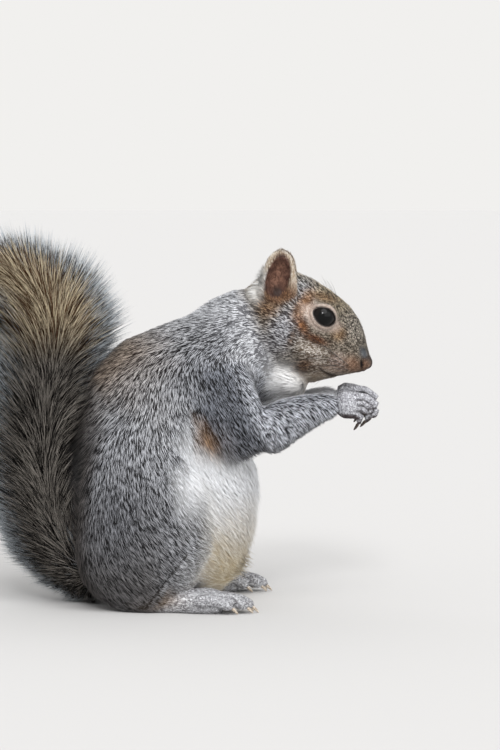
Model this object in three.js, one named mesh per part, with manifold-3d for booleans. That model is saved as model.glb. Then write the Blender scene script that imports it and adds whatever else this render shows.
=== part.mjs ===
// A grey squirrel sitting upright on its haunches, both hands raised to its mouth and its tail held up
// behind. Millimetres, +X the way it faces, +Y its left side, +Z up, the floor at z = 0. The bodies are drawn
// with the hips near x = 0, and the finished group is moved so that the origin is the footprint's middle.
import * as THREE from "three";
import { mergeVertices } from "three/addons/utils/BufferGeometryUtils.js";
import Module from "manifold-3d";

const wasm = await Module();
wasm.setup();

// Driving dimensions.
const seam = 0.3; // clearance between neighbouring sub-parts
const eyeRadius = 5.8;
const footSpread = 34; // midline to the middle of a hind foot
const stride = 2; // the left hind foot stands this far ahead of the middle, the right one behind
const handLift = 1.3; // the left hand is held this much higher than the middle, the right one lower
const clawLength = 4.4;
const fingerRadius = 1.55;
const fingerLengths = [13.6, 14, 11, 7];
const fingerPitch = { out: 1.4, down: 2.4 }; // from each finger to the next
const toeRadius = 2.4;
const toePitch = 3.1; // from each toe to the next, across the foot
const toeFall = 2.2; // how far the outer toes end behind the middle one
const room = 600; // edge of the blocks that trim a solid

const sideways = new THREE.Vector3(0, 1, 0);
const hands = [["left", 1], ["right", -1]];

// The coat's colours and the bare parts.
const finish = (color, roughness = 0.95) =>
  new THREE.MeshStandardMaterial({ color, roughness, metalness: 0 });
const greyCoat = finish("#77777a");
const faceCoat = finish("#85796a");
const paleCoat = finish("#a9a8a6");
const tailCoat = finish("#6e675f");
const earSkin = finish("#8a6a5c", 0.8);
const eyeGloss = finish("#0d0a09", 0.08);
const darkClaw = finish("#2b2623", 0.4);
const noseSkin = finish("#4a3a33", 0.6);

// A body swept along its stations and rounded shut at both ends. Each station gives a point of the middle
// line and how far the body reaches to the side, over it and under it. Swells push its surface out round a
// point.
function sweep(
  stations, { sides = 16, rings = 12, caps = [0.25, 0.25], square = 2, grow = 0, swells = [] } = {},
) {
  const line = middleLine(stations);
  const reach = new THREE.CatmullRomCurve3(
    stations.map((s) => new THREE.Vector3(s.side, s.over, s.under ?? s.over)), false, "catmullrom", 0.5);
  const geometry = new THREE.SphereGeometry(1, sides, rings);
  const position = geometry.attributes.position;
  const p = new THREE.Vector3();
  for (let i = 0; i < position.count; i++) {
    p.fromBufferAttribute(position, i);
    const along = (Math.acos(p.y) / Math.PI + (1 - p.y) / 2) / 2;
    const ahead = line.getTangent(along);
    const round = Math.hypot(p.x, p.z);
    if (round < 1e-6) {
      p.copy(line.getPoint(along)).addScaledVector(ahead, along < 0.5 ? -grow : grow);
    } else {
      const size = reach.getPoint(along);
      const across = sideways.clone().addScaledVector(ahead, -ahead.y).normalize();
      const over = ahead.clone().cross(across);
      const [a, b] = [p.x / round, p.z / round];
      const corner = (Math.abs(a) ** square + Math.abs(b) ** square) ** (-1 / square);
      const taper = roundedEnd(along, caps[0]) * roundedEnd(1 - along, caps[1]) * corner;
      const outwards = across.multiplyScalar(a * (size.x * taper + grow));
      outwards.addScaledVector(over, b * ((b > 0 ? size.y : size.z) * taper + grow));
      p.copy(line.getPoint(along)).add(outwards);
      outwards.normalize();
      for (const swell of swells) {
        const far = p.distanceTo(swell.centre) / swell.reach;
        p.addScaledVector(outwards, swell.by * Math.exp(-far * far));
      }
    }
    position.setXYZ(i, p.x, p.y, p.z);
  }
  return solidOf(geometry);
}

const middleLine = (stations) => new THREE.CatmullRomCurve3(stations.map((s) => new THREE.Vector3(...s.at)));

// How full a rounded end is at this share of the length from it.
function roundedEnd(along, cap) {
  return along >= cap ? 1 : Math.sqrt(Math.max(0, along * (2 * cap - along))) / cap;
}

function solidOf(geometry) {
  geometry.deleteAttribute("normal");
  geometry.deleteAttribute("uv");
  const merged = mergeVertices(geometry, 1e-4);
  return new wasm.Manifold(new wasm.Mesh({
    numProp: 3,
    vertProperties: merged.attributes.position.array,
    triVerts: new Uint32Array(merged.index.array),
  }));
}

// A block centred on a point, its Z axis turned to face along a direction.
function block(size, centre, facing = new THREE.Vector3(0, 0, 1)) {
  const box = new THREE.BoxGeometry(...size);
  box.applyQuaternion(new THREE.Quaternion().setFromUnitVectors(new THREE.Vector3(0, 0, 1), facing));
  box.translate(...centre);
  return solidOf(box);
}

// The piece of a solid that holds most of its volume.
const largest = (solid) => solid.decompose().sort((a, b) => b.volume() - a.volume())[0];

// A solid parted in two by a thin cut across a direction: the piece ahead of the cut, then the one behind.
function parted(solid, at, facing) {
  const beyond = at.clone().addScaledVector(facing, (room + seam) / 2);
  const before = at.clone().addScaledVector(facing, -(room + seam) / 2);
  return [beyond, before].map((centre) =>
    largest(solid.intersect(block([room, room, room], centre.toArray(), facing))));
}

const squirrel = new THREE.Group();
const aboveFloor = block([room, room, room], [0, 0, room / 2]);

function add(name, solid, material) {
  const kept = largest(solid.intersect(aboveFloor)).getMesh();
  const geometry = new THREE.BufferGeometry();
  geometry.setAttribute("position", new THREE.BufferAttribute(kept.vertProperties, 3));
  geometry.setIndex(new THREE.BufferAttribute(kept.triVerts, 1));
  geometry.computeVertexNormals();
  const mesh = new THREE.Mesh(geometry, material);
  mesh.name = name;
  squirrel.add(mesh);
}

// A foot or hand with a socket for each of its claws, and the claws themselves.
function addClawed(name, solid, claws) {
  add(name, claws.reduce((rest, shape) => rest.subtract(shape(seam)), solid), paleCoat);
  for (const [i, shape] of claws.entries()) add(`claw_${name}_${i + 1}`, shape(0), darkClaw);
}

// Stations drawn for the left side, put on the side that sign gives.
const onSide = (stations, sign) => stations.map((s) => ({ ...s, at: [s.at[0], s.at[1] * sign, s.at[2]] }));

// ---- Head: places are given along its axis from the back of the skull, and up from that axis. ----
const headTilt = THREE.MathUtils.degToRad(27);
const skullBack = new THREE.Vector3(36, 0, 136);
const noseward = new THREE.Vector3(Math.cos(headTilt), 0, -Math.sin(headTilt));
const crownward = new THREE.Vector3(Math.sin(headTilt), 0, Math.cos(headTilt));
const onHead = (along, up, y = 0) =>
  skullBack.clone().addScaledVector(noseward, along).addScaledVector(crownward, up).setY(y);
const headRing = (along, top, bottom, side) =>
  ({ at: onHead(along, (top + bottom) / 2).toArray(), side, over: (top - bottom) / 2 });
const headLine = [
  headRing(-14, 9, -16, 12),
  headRing(-8, 15.5, -22, 17),
  headRing(0, 19.5, -25, 19.3),
  headRing(8, 20.6, -25.5, 20),
  headRing(16, 20.9, -25, 19.4),
  headRing(24, 19, -24, 17.8),
  headRing(32, 17.8, -22.9, 14.6),
  headRing(39, 13.3, -18.3, 10.8),
  headRing(45, 7.4, -13.5, 7.9),
  headRing(50.5, 1.6, -8.4, 5.5),
  headRing(54.5, -1, -6.2, 3.6),
];
const noseCut = 50.2; // along the head's axis
const eyeAt = (sign) => onHead(23.9, 7.4, 13.2 * sign);
const headSwells = hands.flatMap(([, sign]) => [
  { centre: onHead(20, -12, 17 * sign), reach: 12, by: 1.5 }, // cheek
  { centre: onHead(43, -7, 7 * sign), reach: 6.5, by: 1.1 }, // whisker pad
  { centre: onHead(25, 15, 12 * sign), reach: 8, by: 0.8 }, // brow
]);
const headShape = (grow = 0) =>
  sweep(headLine, { sides: 18, rings: 15, caps: [0.2, 0.08], square: 2.15, swells: headSwells, grow });

const earLine = [
  { at: [40.8, 14, 129], side: 4.2, over: 7.4 },
  { at: [41.2, 15.4, 138], side: 3.9, over: 8.8, under: 8.6 },
  { at: [41.6, 16.6, 148], side: 3.3, over: 8, under: 7.8 },
  { at: [41.7, 17.6, 155.5], side: 2.7, over: 6.8, under: 6.4 },
  { at: [42, 18, 161.6], side: 2.3, over: 5.4 },
];
const earHollow = [
  { at: [41.6, 19.4, 137], side: 2.6, over: 3 },
  { at: [41.6, 20, 144], side: 4, over: 6.2, under: 6 },
  { at: [41.8, 20.4, 150.5], side: 3.7, over: 6.3, under: 6.2 },
  { at: [41.8, 20.6, 159], side: 2.5, over: 3.9 },
];

// ---- Trunk and neck in one, from the rump up the curved back to the nape. ----
const trunkLine = [
  { at: [-16, 0, 1.4], side: 24, over: 31, under: 24 },
  { at: [-14, 0, 14], side: 34, over: 37.5, under: 34 },
  { at: [-12, 0, 42], side: 38, over: 43.5, under: 44 },
  { at: [-11, 0, 70], side: 36, over: 43.5, under: 43 },
  { at: [-6, 0, 90], side: 33, over: 43.5, under: 36 },
  { at: [3, 0, 103], side: 29, over: 32, under: 30 },
  { at: [15, 0, 112], side: 26, over: 23.5, under: 28 },
  { at: [28, 0, 119], side: 22, over: 25.4, under: 24 },
  { at: [42, 0, 124], side: 19, over: 23, under: 22 },
];
// The loose fur of the throat, between the jaw and the arms.
const throatLine = [
  { at: [30, 0, 104], side: 13, over: 14 },
  { at: [44, 0, 102], side: 13, over: 11 },
  { at: [54.5, 0, 100.4], side: 9, over: 5.5 },
];
const headCut = {
  at: new THREE.Vector3(35.6, 0, 122.4), facing: new THREE.Vector3(0.912, 0, 0.41).normalize(),
};
const neckCut = { at: new THREE.Vector3(18, 0, 112), facing: new THREE.Vector3(0.8, 0, 0.6) };

// ---- Tail: up behind the back and over backwards in a crook. Over is its rear, then the crook's inside. ---
const tailLine = [
  { at: [-44, 0, -4], side: 12, over: 10, under: 8 },
  { at: [-51, 0, 11], side: 14, over: 13, under: 9 },
  { at: [-60, 0, 26], side: 20, over: 22, under: 11 },
  { at: [-66, 0, 52], side: 28, over: 28, under: 11 },
  { at: [-67, 0, 79], side: 32, over: 29, under: 12 },
  { at: [-63, 0, 101], side: 33, over: 25, under: 16 },
  { at: [-61, 0, 118], side: 33, over: 21, under: 28 },
  { at: [-64, 0, 133], side: 33, over: 19, under: 32 },
  { at: [-74, 0, 143.5], side: 33, over: 18, under: 27 },
  { at: [-88, 0, 146.5], side: 32, over: 18, under: 24 },
  { at: [-102, 0, 142], side: 31, over: 18, under: 24 },
  { at: [-111, 0, 130], side: 28, over: 18, under: 24 },
  { at: [-114, 0, 113], side: 22, over: 17, under: 21 },
  { at: [-113.5, 0, 97], side: 14, over: 12, under: 14 },
  { at: [-112.5, 0, 84], side: 8, over: 7, under: 8 },
];
const tailLengths = 5;

// ---- Limbs, drawn for the left side. ----
const haunchLine = [
  { at: [-25, 23, 92], side: 8, over: 11, under: 11 },
  { at: [-24, 28, 72], side: 12.5, over: 24, under: 24 },
  { at: [-19, 31, 47], side: 17.5, over: 31, under: 32 },
  { at: [-18, 32, 25], side: 16, over: 27, under: 35 },
  { at: [-20, 31.5, -5], side: 12, over: 12, under: 32 },
];
const kneeCut = { at: new THREE.Vector3(2, 0, 30), facing: new THREE.Vector3(0.78, 0, -0.626).normalize() };
const footLine = (ahead) => [
  { at: [ahead - 22, footSpread - 2, 4.2], side: 4.6, over: 4.8 },
  { at: [ahead - 12, footSpread - 1.2, 4.6], side: 5.6, over: 5.2 },
  { at: [ahead + 2, footSpread, 4.8], side: 6.2, over: 5.4 },
  { at: [ahead + 13, footSpread + 1.2, 4.8], side: 7.4, over: 5.2 },
  { at: [ahead + 20, footSpread + 2, 4.2], side: 7, over: 4 },
];
const upperArmLine = [
  { at: [5, 16, 116], side: 11, over: 14 },
  { at: [11, 22, 101], side: 12, over: 18 },
  { at: [19, 25, 85], side: 11, over: 17 },
  { at: [26.5, 25, 66.5], side: 8.5, over: 10.5 },
];
const forearmLine = (lift) => [
  { at: [23, 24, 72.5], side: 8.5, over: 11 },
  { at: [35, 23, 81], side: 9, over: 12 },
  { at: [49, 16.5, 87.5], side: 8, over: 9.6 },
  { at: [60, 11.5, 91.5 + lift / 2], side: 6.2, over: 7.2 },
  { at: [68, 9.4, 93 + lift], side: 4.8, over: 5.6 },
];
const elbowCut = { at: new THREE.Vector3(33, 0, 78), facing: new THREE.Vector3(0.94, 0, 0.34).normalize() };
const palmLine = (lift) => [
  { at: [66, 9.6, 93 + lift], side: 3.8, over: 5.2 },
  { at: [72, 9.2, 92.6 + lift], side: 4.2, over: 6 },
  { at: [78.5, 8.2, 91 + lift], side: 3.4, over: 5.4 },
];

// A finger or toe along its knuckles, thinner towards the tip.
function digit(points, sign, radius) {
  const radii = points.map((_, i) => radius * (1 - 0.1 * i));
  const stations = points.map((at, i) => ({ at, side: radii[i], over: radii[i] }));
  return sweep(onSide(stations, sign), { sides: 6, rings: 5, caps: [0.2, 0.16] });
}

// The fingers from the first to the smallest: each runs out from the palm, bends down at its knuckle and
// curls back, and each is a little lower and further out than the one before.
const fingers = (lift) => fingerLengths.map((length, i) => {
  const [x, y, z] = [71, 6.2 + fingerPitch.out * i, 96.4 - fingerPitch.down * i + lift];
  return [
    [x, y, z], [x + 0.62 * length, y - 0.6, z - 0.4],
    [x + length, y - 1.6, z - 0.3 * length], [x + 0.82 * length, y - 2.8, z - 0.3 * length - 3.4],
  ];
});
const toes = (ahead) => [0, 1, 2, 3, 4].map((i) => {
  const fan = i - 2;
  const tip = ahead + 32 - toeFall * fan * fan;
  const y = footSpread + 2 + toePitch * fan;
  return [
    [tip - 18, y - 1, 5.2], [tip - 11, y, 6.6], [tip - 4.5, y + 0.2 * fan, 5.4], [tip, y + 0.3 * fan, 2.8],
  ];
});

// A claw: a hooked point that is set into the tip of its digit, carries it on and turns down.
function claw(points, sign, down, grow = 0) {
  const [before, tip] = points.slice(-2).map((at) => new THREE.Vector3(...at));
  const ahead = tip.clone().sub(before).normalize();
  const at = (far, drop) => tip.clone().addScaledVector(ahead, far).addScaledVector(down, drop).toArray();
  const stations = [
    { at: at(-1.2, 0), side: 0.8, over: 1.05 },
    { at: at(clawLength * 0.4 - 0.6, 0.3), side: 0.65, over: 0.85 },
    { at: at(clawLength - 1.2, 1.2), side: 0.3, over: 0.35 },
  ];
  return sweep(onSide(stations, sign), { sides: 5, rings: 4, caps: [0.12, 0.2], grow });
}

// ---- Building, each part giving way to the ones made before it. ----
const eye = (grow = 0) => new THREE.SphereGeometry(eyeRadius + grow, 12, 8);
const ear = (sign, grow = 0) =>
  sweep(onSide(earLine, sign), { sides: 10, rings: 8, caps: [0.2, 0.26], grow });
const torso = (grow = 0) => sweep(trunkLine, { sides: 20, rings: 14, caps: [0.12, 0.1], square: 2.1, grow });
const throat = sweep(throatLine, { sides: 12, rings: 7, caps: [0.25, 0.2] });

let [head, body] = parted(headShape().add(torso()).add(throat), headCut.at, headCut.facing);
for (const [hand, sign] of hands) {
  const at = eyeAt(sign).toArray();
  add(`eye_${hand}`, solidOf(eye().translate(...at)), eyeGloss);
  head = head.subtract(solidOf(eye(seam).translate(...at)));
  const cup = sweep(onSide(earHollow, sign), { sides: 8, rings: 6, caps: [0.35, 0.35] });
  add(`ear_${hand}`, ear(sign).subtract(cup), earSkin);
  head = head.subtract(ear(sign, seam));
}

const haunch = (sign, grow = 0) =>
  sweep(onSide(haunchLine, sign), { sides: 14, rings: 9, caps: [0.25, 0.2], grow });
for (const [hand, sign] of hands) {
  const lift = handLift * sign;
  const ahead = stride * sign;
  const foot = (grow = 0) =>
    sweep(onSide(footLine(ahead), sign), { sides: 10, rings: 7, caps: [0.2, 0.15], grow });
  const upperArm = (grow = 0) => sweep(onSide(upperArmLine, sign), { sides: 11, rings: 7, grow });
  const forearm = (grow = 0) =>
    sweep(onSide(forearmLine(lift), sign), { sides: 11, rings: 7, caps: [0.25, 0.12], grow });
  const palm = (grow = 0) => sweep(onSide(palmLine(lift), sign), { sides: 10, rings: 6, grow });

  // Hind foot with its toes and claws.
  const downwards = new THREE.Vector3(0, 0, -1);
  const wholeFoot = toes(ahead).reduce((sum, points) => sum.add(digit(points, sign, toeRadius)), foot());
  const footClaws = toes(ahead).map((points) => (grow) => claw(points, sign, downwards, grow));
  addClawed(`foot_${hand}`, wholeFoot, footClaws);

  // Thigh and shank, one rounded haunch parted by a slanting cut.
  const [shank, thigh] = parted(haunch(sign).subtract(foot(seam)), kneeCut.at, kneeCut.facing);
  add(`shank_${hand}`, shank, greyCoat);
  add(`thigh_${hand}`, thigh, greyCoat);

  // Hand with its fingers and claws.
  const backwards = new THREE.Vector3(-1, 0, -0.2);
  const wholeHand = fingers(lift).reduce((sum, points) => sum.add(digit(points, sign, fingerRadius)), palm());
  const handClaws = fingers(lift).map((points) => (grow) => claw(points, sign, backwards, grow));
  addClawed(`hand_${hand}`, wholeHand, handClaws);

  // The arm, parted at the elbow.
  const arm = upperArm().add(forearm()).subtract(palm(seam));
  const [lower, upper] = parted(arm, elbowCut.at, elbowCut.facing);
  add(`forearm_${hand}`, lower, greyCoat);
  add(`upper_arm_${hand}`, upper, greyCoat);

  body = body.subtract(haunch(sign, seam)).subtract(upperArm(seam)).subtract(forearm(seam));
  head = head.subtract(upperArm(seam)).subtract(forearm(seam));
}
const [nose, skull] = parted(head, onHead(noseCut, 0), noseward);
add("nose", nose, noseSkin);
add("head", skull, faceCoat);
const [neck, trunk] = parted(body, neckCut.at, neckCut.facing);
add("neck", neck, greyCoat);
add("trunk", trunk, greyCoat);

// The tail in lengths, each parted from the next square to its middle line.
const tailMiddle = middleLine(tailLine);
let tail = sweep(tailLine, { sides: 14, rings: 19, caps: [0.08, 0.14] }).subtract(torso(seam));
for (const [, sign] of hands) tail = tail.subtract(haunch(sign, seam));
tail = largest(tail);
for (let i = 1; i < tailLengths; i++) {
  const share = i / tailLengths;
  const [at, along] = [tailMiddle.getPoint(share).toArray(), tailMiddle.getTangent(share)];
  tail = tail.subtract(block([70, 90, seam], at, along));
}
const shareNearest = (solid) => {
  const { min, max } = solid.boundingBox();
  const centre = new THREE.Vector3((min[0] + max[0]) / 2, 0, (min[2] + max[2]) / 2);
  const shares = Array.from({ length: 41 }, (_, i) => i / 40);
  return shares.sort((a, b) =>
    tailMiddle.getPoint(a).distanceTo(centre) - tailMiddle.getPoint(b).distanceTo(centre))[0];
};
const lengths = tail.decompose().sort((a, b) => b.volume() - a.volume()).slice(0, tailLengths);
lengths.sort((a, b) => shareNearest(a) - shareNearest(b));
for (const [i, piece] of lengths.entries()) add(`tail_${i + 1}`, piece, tailCoat);

// The origin goes to the middle of the footprint, on the floor.
const box = new THREE.Box3().setFromObject(squirrel, true);
squirrel.position.set(-(box.min.x + box.max.x) / 2, -(box.min.y + box.max.y) / 2, -box.min.z);

export default squirrel;
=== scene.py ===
# A grey squirrel sitting up on its haunches, dressed over the CAD frame: one skin under a coat of solid
# tufts, glossy eyes, horn claws and whiskers. Metres, +X the way it faces, +Y its left side.
import math
from functools import partial

import bmesh
import bpy
import numpy as np
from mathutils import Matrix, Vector
from mathutils.bvhtree import BVHTree
from mathutils.kdtree import KDTree


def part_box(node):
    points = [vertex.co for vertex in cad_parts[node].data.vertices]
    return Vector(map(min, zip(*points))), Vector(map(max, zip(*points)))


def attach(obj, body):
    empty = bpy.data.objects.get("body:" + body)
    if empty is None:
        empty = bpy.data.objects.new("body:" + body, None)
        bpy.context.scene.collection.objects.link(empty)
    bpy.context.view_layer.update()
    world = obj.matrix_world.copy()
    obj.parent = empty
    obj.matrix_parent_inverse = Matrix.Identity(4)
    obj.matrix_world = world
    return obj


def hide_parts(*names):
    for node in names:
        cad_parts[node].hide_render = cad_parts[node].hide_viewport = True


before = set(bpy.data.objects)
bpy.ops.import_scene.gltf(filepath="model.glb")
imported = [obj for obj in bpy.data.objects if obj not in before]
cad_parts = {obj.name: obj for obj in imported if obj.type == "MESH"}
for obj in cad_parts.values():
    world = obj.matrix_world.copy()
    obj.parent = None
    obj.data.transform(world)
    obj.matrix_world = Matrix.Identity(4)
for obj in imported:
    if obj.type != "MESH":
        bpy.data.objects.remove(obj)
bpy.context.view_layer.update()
mm = 0.001


def linear(hexCode, alpha=1.0):
    # an sRGB hex value as the linear colour that shaders and attributes hold
    values = [int(hexCode[i:i + 2], 16) / 255 for i in (1, 3, 5)]
    return [v / 12.92 if v <= 0.04045 else ((v + 0.055) / 1.055) ** 2.4 for v in values] + [alpha]


def corners(*nodes):
    # lowest and highest corner of the box round some CAD nodes, in millimetres
    boxes = np.array([[tuple(c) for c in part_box(n)] for n in nodes]) / mm
    return boxes[:, 0].min(0), boxes[:, 1].max(0)


def middle(*nodes):
    low, high = corners(*nodes)
    return (low + high) / 2


def unit(vectors):
    vectors = np.asarray(vectors, float)
    length = np.linalg.norm(vectors, axis=-1, keepdims=True)
    return vectors / np.maximum(length, 1e-12)


def smoothStep(values, low, high):
    t = np.clip((values - low) / (high - low), 0, 1)
    return t * t * (3 - 2 * t)


def newObject(name, mesh):
    made = bpy.data.objects.new(name, mesh)
    bpy.context.scene.collection.objects.link(made)
    return made


def evaluated(obj, name):
    # the object with its modifiers applied, as a plain mesh object that takes its place
    graph = bpy.context.evaluated_depsgraph_get()
    mesh = bpy.data.meshes.new_from_object(obj.evaluated_get(graph), preserve_all_data_layers=True,
                                           depsgraph=graph)
    bpy.data.objects.remove(obj)
    mesh.name = name
    return newObject(name, mesh)


def readAll(items, field, width=1, kind=np.float32):
    # one field of every item, a row for each where the field is wider than one number
    flat = np.empty(len(items) * width, kind)
    items.foreach_get(field, flat)
    return flat.reshape(-1, width) if width > 1 else flat


def points(mesh):
    # vertex places in millimetres
    return readAll(mesh.vertices, "co", 3).astype(float) / mm


def setPoints(mesh, places):
    mesh.vertices.foreach_set("co", (places * mm).astype(np.float32).ravel())
    mesh.update()


def normals(mesh):
    return readAll(mesh.vertex_normals, "vector", 3).astype(float)


def edgesOf(mesh):
    return readAll(mesh.edges, "vertices", 2, np.int32)


def meshFrom(shape, name):
    # the mesh that a bmesh holds; the bmesh is used up
    mesh = bpy.data.meshes.new(name)
    shape.to_mesh(mesh)
    shape.free()
    return mesh


def shadeSmooth(mesh):
    mesh.polygons.foreach_set("use_smooth", np.ones(len(mesh.polygons), bool))


def dropAttributes(mesh, *names):
    for name in names:
        if name in mesh.attributes:
            mesh.attributes.remove(mesh.attributes[name])


def blurred(values, edges, times):
    # values on vertices, evened out with their neighbours
    flat = np.asarray(values, float).reshape(len(values), -1)
    ends = np.concatenate([edges[:, 0], edges[:, 1]])
    others = np.concatenate([edges[:, 1], edges[:, 0]])
    count = np.bincount(ends, minlength=len(flat))[:, None]
    for _ in range(times):
        total = np.stack([np.bincount(ends, c[others], minlength=len(flat)) for c in flat.T], -1)
        flat = (flat + total) / (1 + count)
    return flat.reshape(np.shape(values))


def writeAttribute(mesh, name, values, kind="FLOAT"):
    field = {"FLOAT": "value", "FLOAT_VECTOR": "vector", "FLOAT_COLOR": "color"}[kind]
    layer = mesh.attributes.new(name, kind, "POINT")
    layer.data.foreach_set(field, np.asarray(values, np.float32).ravel())


def addNode(tree, kind, settings=None, inputs=None, output=0):
    # one node with its settings and colour stops, a value or a link for each input, and the output asked for
    node = tree.nodes.new(kind)
    for key, value in (settings or {}).items():
        if key != "stops":
            setattr(node, key, value)
            continue
        elements = node.color_ramp.elements
        while len(elements) < len(value):
            elements.new(0.5)
        for element, (position, tone) in zip(elements, value):
            element.position = position
            element.color = linear(tone) if isinstance(tone, str) else (tone, tone, tone, 1)
    for key, value in (inputs or {}).items():
        if isinstance(value, bpy.types.NodeSocket):
            tree.links.new(value, node.inputs[key])
        else:
            node.inputs[key].default_value = value
    return node.outputs[output]


def grown(obj, tree, values):
    # what a Geometry Nodes tree makes of an object, its inputs set by their sockets' identifiers
    modifier = obj.modifiers.new("grown", "NODES")
    modifier.node_group = tree
    for socket in tree.interface.items_tree:
        if socket.item_type == "SOCKET" and socket.in_out == "INPUT" and socket.name in values:
            modifier[socket.identifier] = values[socket.name]
    return evaluated(obj, obj.name)


def smartUnwrap(obj, mapName):
    # an unwrap of the surface's own shape, kept under mapName
    obj.data.uv_layers.new(name=mapName)
    bpy.context.view_layer.objects.active = obj
    obj.select_set(True)
    bpy.ops.object.mode_set(mode="EDIT")
    bpy.ops.mesh.select_all(action="SELECT")
    bpy.ops.uv.smart_project(angle_limit=math.radians(66), island_margin=0.004)
    bpy.ops.object.mode_set(mode="OBJECT")
    obj.select_set(False)


# the camera stands beside the animal's right side, a little ahead and a little above
view = {"distance": 1.3, "azimuth": 2.0, "elevation": 3.5, "frameHeight": 0.345, "ahead": 0.052,
        "height": 0.104}


def makeCamera():
    turn, rise = math.radians(view["azimuth"]), math.radians(view["elevation"])
    back = Vector((math.sin(turn) * math.cos(rise), -math.cos(turn) * math.cos(rise), math.sin(rise)))
    right = Vector((math.cos(turn), math.sin(turn), 0))
    up = back.cross(right)
    data = bpy.data.cameras.new("camera")
    data.lens = data.sensor_width * view["distance"] / view["frameHeight"]
    data.clip_start, data.clip_end = 0.05, 200
    camera = newObject("camera", data)
    camera.location = right * view["ahead"] + up * view["height"] + back * view["distance"]
    camera.rotation_euler = back.to_track_quat("Z", "Y").to_euler()
    bpy.context.scene.camera = camera


makeCamera()
print("camera placed")

# the head's own directions: its profile is turned nose down by tilt degrees, and places on it are measured in
# millimetres from between the eyes: ahead to the nose, up to the crown
headFrame = {"tilt": 27, "eyeRadius": 5.8}
tilt = math.radians(headFrame["tilt"])
noseward = np.array([math.cos(tilt), 0, -math.sin(tilt)])
crownward = np.array([math.sin(tilt), 0, math.cos(tilt)])
betweenEyes = middle("eye_left", "eye_right")
eyeMiddles = {side: middle("eye_" + side) for side in ("left", "right")}


def onHead(places):
    # ahead, up and distance from the mid-plane of places given in the frame
    offset = places - betweenEyes
    return offset @ noseward, offset @ crownward, np.abs(places[:, 1])


# the tail's core: where it runs in the CAD tail, root to tip, as x and z, and its radius at both ends; skin
# is the tail's where it is clear of all other flesh, and no further than within from the trunk's rear
tailCore = {
    "line": [(2, 20), (-14, 13), (-26, 14), (-35.5, 26), (-41.5, 52), (-42.5, 79), (-38.5, 101), (-36.5, 118),
             (-39.5, 133), (-49.5, 143.5), (-63.5, 146.5), (-77.5, 142), (-86.5, 130), (-89.5, 113)],
    "radii": (8.0, 4.0), "steps": 160, "around": 14, "clear": 0.45, "within": 12,
}


def tailSpine():
    # evenly stepped points on a smooth curve through the core's line
    line = np.array([(x, 0, z) for x, z in tailCore["line"]], float)
    padded = np.concatenate([[2 * line[0] - line[1]], line, [2 * line[-1] - line[-2]]])
    dense = []
    for a, b, c, d in zip(padded, padded[1:], padded[2:], padded[3:]):
        for t in np.linspace(0, 1, 30, endpoint=False):
            dense.append(0.5 * (2 * b + (c - a) * t + (2 * a - 5 * b + 4 * c - d) * t * t
                                + (3 * b - a - 3 * c + d) * t ** 3))
    dense = np.array(dense + [line[-1]])
    run = np.concatenate([[0], np.cumsum(np.linalg.norm(np.diff(dense, axis=0), axis=1))])
    evenly = np.linspace(0, run[-1], tailCore["steps"])
    return np.stack([np.interp(evenly, run, dense[:, i]) for i in range(3)], -1)


def addTube(whole, spine, radii, around):
    # a closed tube along a spine in the frame's x-z plane
    along = unit(np.gradient(spine, axis=0))
    sideways = np.array([0.0, 1.0, 0.0])
    rings = []
    for place, ahead, radius in zip(spine, along, radii):
        across = np.cross(ahead, sideways)
        ring = []
        for k in range(around):
            angle = 2 * math.pi * k / around
            ring.append(whole.verts.new((place + (sideways * math.cos(angle) + across * math.sin(angle))
                                         * radius) * mm))
        rings.append(ring)
    for near, far in zip(rings, rings[1:]):
        for k in range(around):
            whole.faces.new((near[k], near[(k + 1) % around], far[(k + 1) % around], far[k]))
    whole.faces.new(rings[0][::-1])
    whole.faces.new(rings[-1])


# each zone of the skin: how deep it lies under the coat, the length and half width of its tufts, how far they
# stand off the skin in degrees, which way they lie, and how strongly the joined shape is smoothed
zones = {
    "head": {"depth": 1.5, "length": 3.4, "girth": 0.27, "lift": 20, "toward": (-0.85, 0, 0.25),
             "smooth": 14},
    "nose": {"depth": 0.5, "length": 0.7, "girth": 0.14, "lift": 16, "toward": (-0.85, 0, 0.35), "smooth": 8},
    "ear": {"depth": 0.4, "length": 2.0, "girth": 0.16, "lift": 16, "toward": (-0.1, 0, 1), "smooth": 6},
    "neck": {"depth": 2.6, "length": 5.5, "girth": 0.34, "lift": 18, "toward": (-0.8, 0, -0.6), "smooth": 60},
    "trunk": {"depth": 3.2, "length": 6.0, "girth": 0.35, "lift": 18, "toward": (-0.55, 0, -0.85),
              "smooth": 140},
    "thigh": {"depth": 3.2, "length": 6.0, "girth": 0.35, "lift": 17, "toward": (-0.12, 0, -1),
              "smooth": 120},
    "shank": {"depth": 2.0, "length": 5.0, "girth": 0.34, "lift": 16, "toward": (0.25, 0, -1), "smooth": 40},
    "foot": {"depth": 0.4, "length": 2.3, "girth": 0.17, "lift": 9, "toward": (1, 0, -0.1), "smooth": 3},
    "upper_arm": {"depth": 2.6, "length": 5.0, "girth": 0.33, "lift": 17, "toward": (-0.1, 0, -1),
                  "smooth": 60},
    "forearm": {"depth": 1.7, "length": 4.2, "girth": 0.3, "lift": 17, "toward": (0.6, 0, -0.75),
                "smooth": 30},
    "hand": {"depth": 0.3, "length": 1.7, "girth": 0.16, "lift": 10, "toward": (1, 0, 0.05), "smooth": 3},
    "tail": {"depth": 0.0, "length": 30, "girth": 0.3, "lift": 45, "toward": (0, 0, 1), "smooth": 10},
}
# millimetres, but for the face count and the passes of blur: the skin lies shallower by backRise on the back,
# and on the head it is shallowest at the lids, shallow on the muzzle and deeper towards the crown
skinBuild = {
    "voxel": 0.5, "seamGrowth": 0.3, "footGrowth": 0.6, "faces": 185000, "zoneBlur": 14, "floorGap": 0.05,
    "backRise": 2.2, "lidDepth": 0.15, "muzzleDepth": 0.5, "crownMore": 1.2,
}


zoneNames = list(zones)


def zoneOf(node):
    return next((z for z in zones if node.startswith(z)), "trunk")


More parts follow.
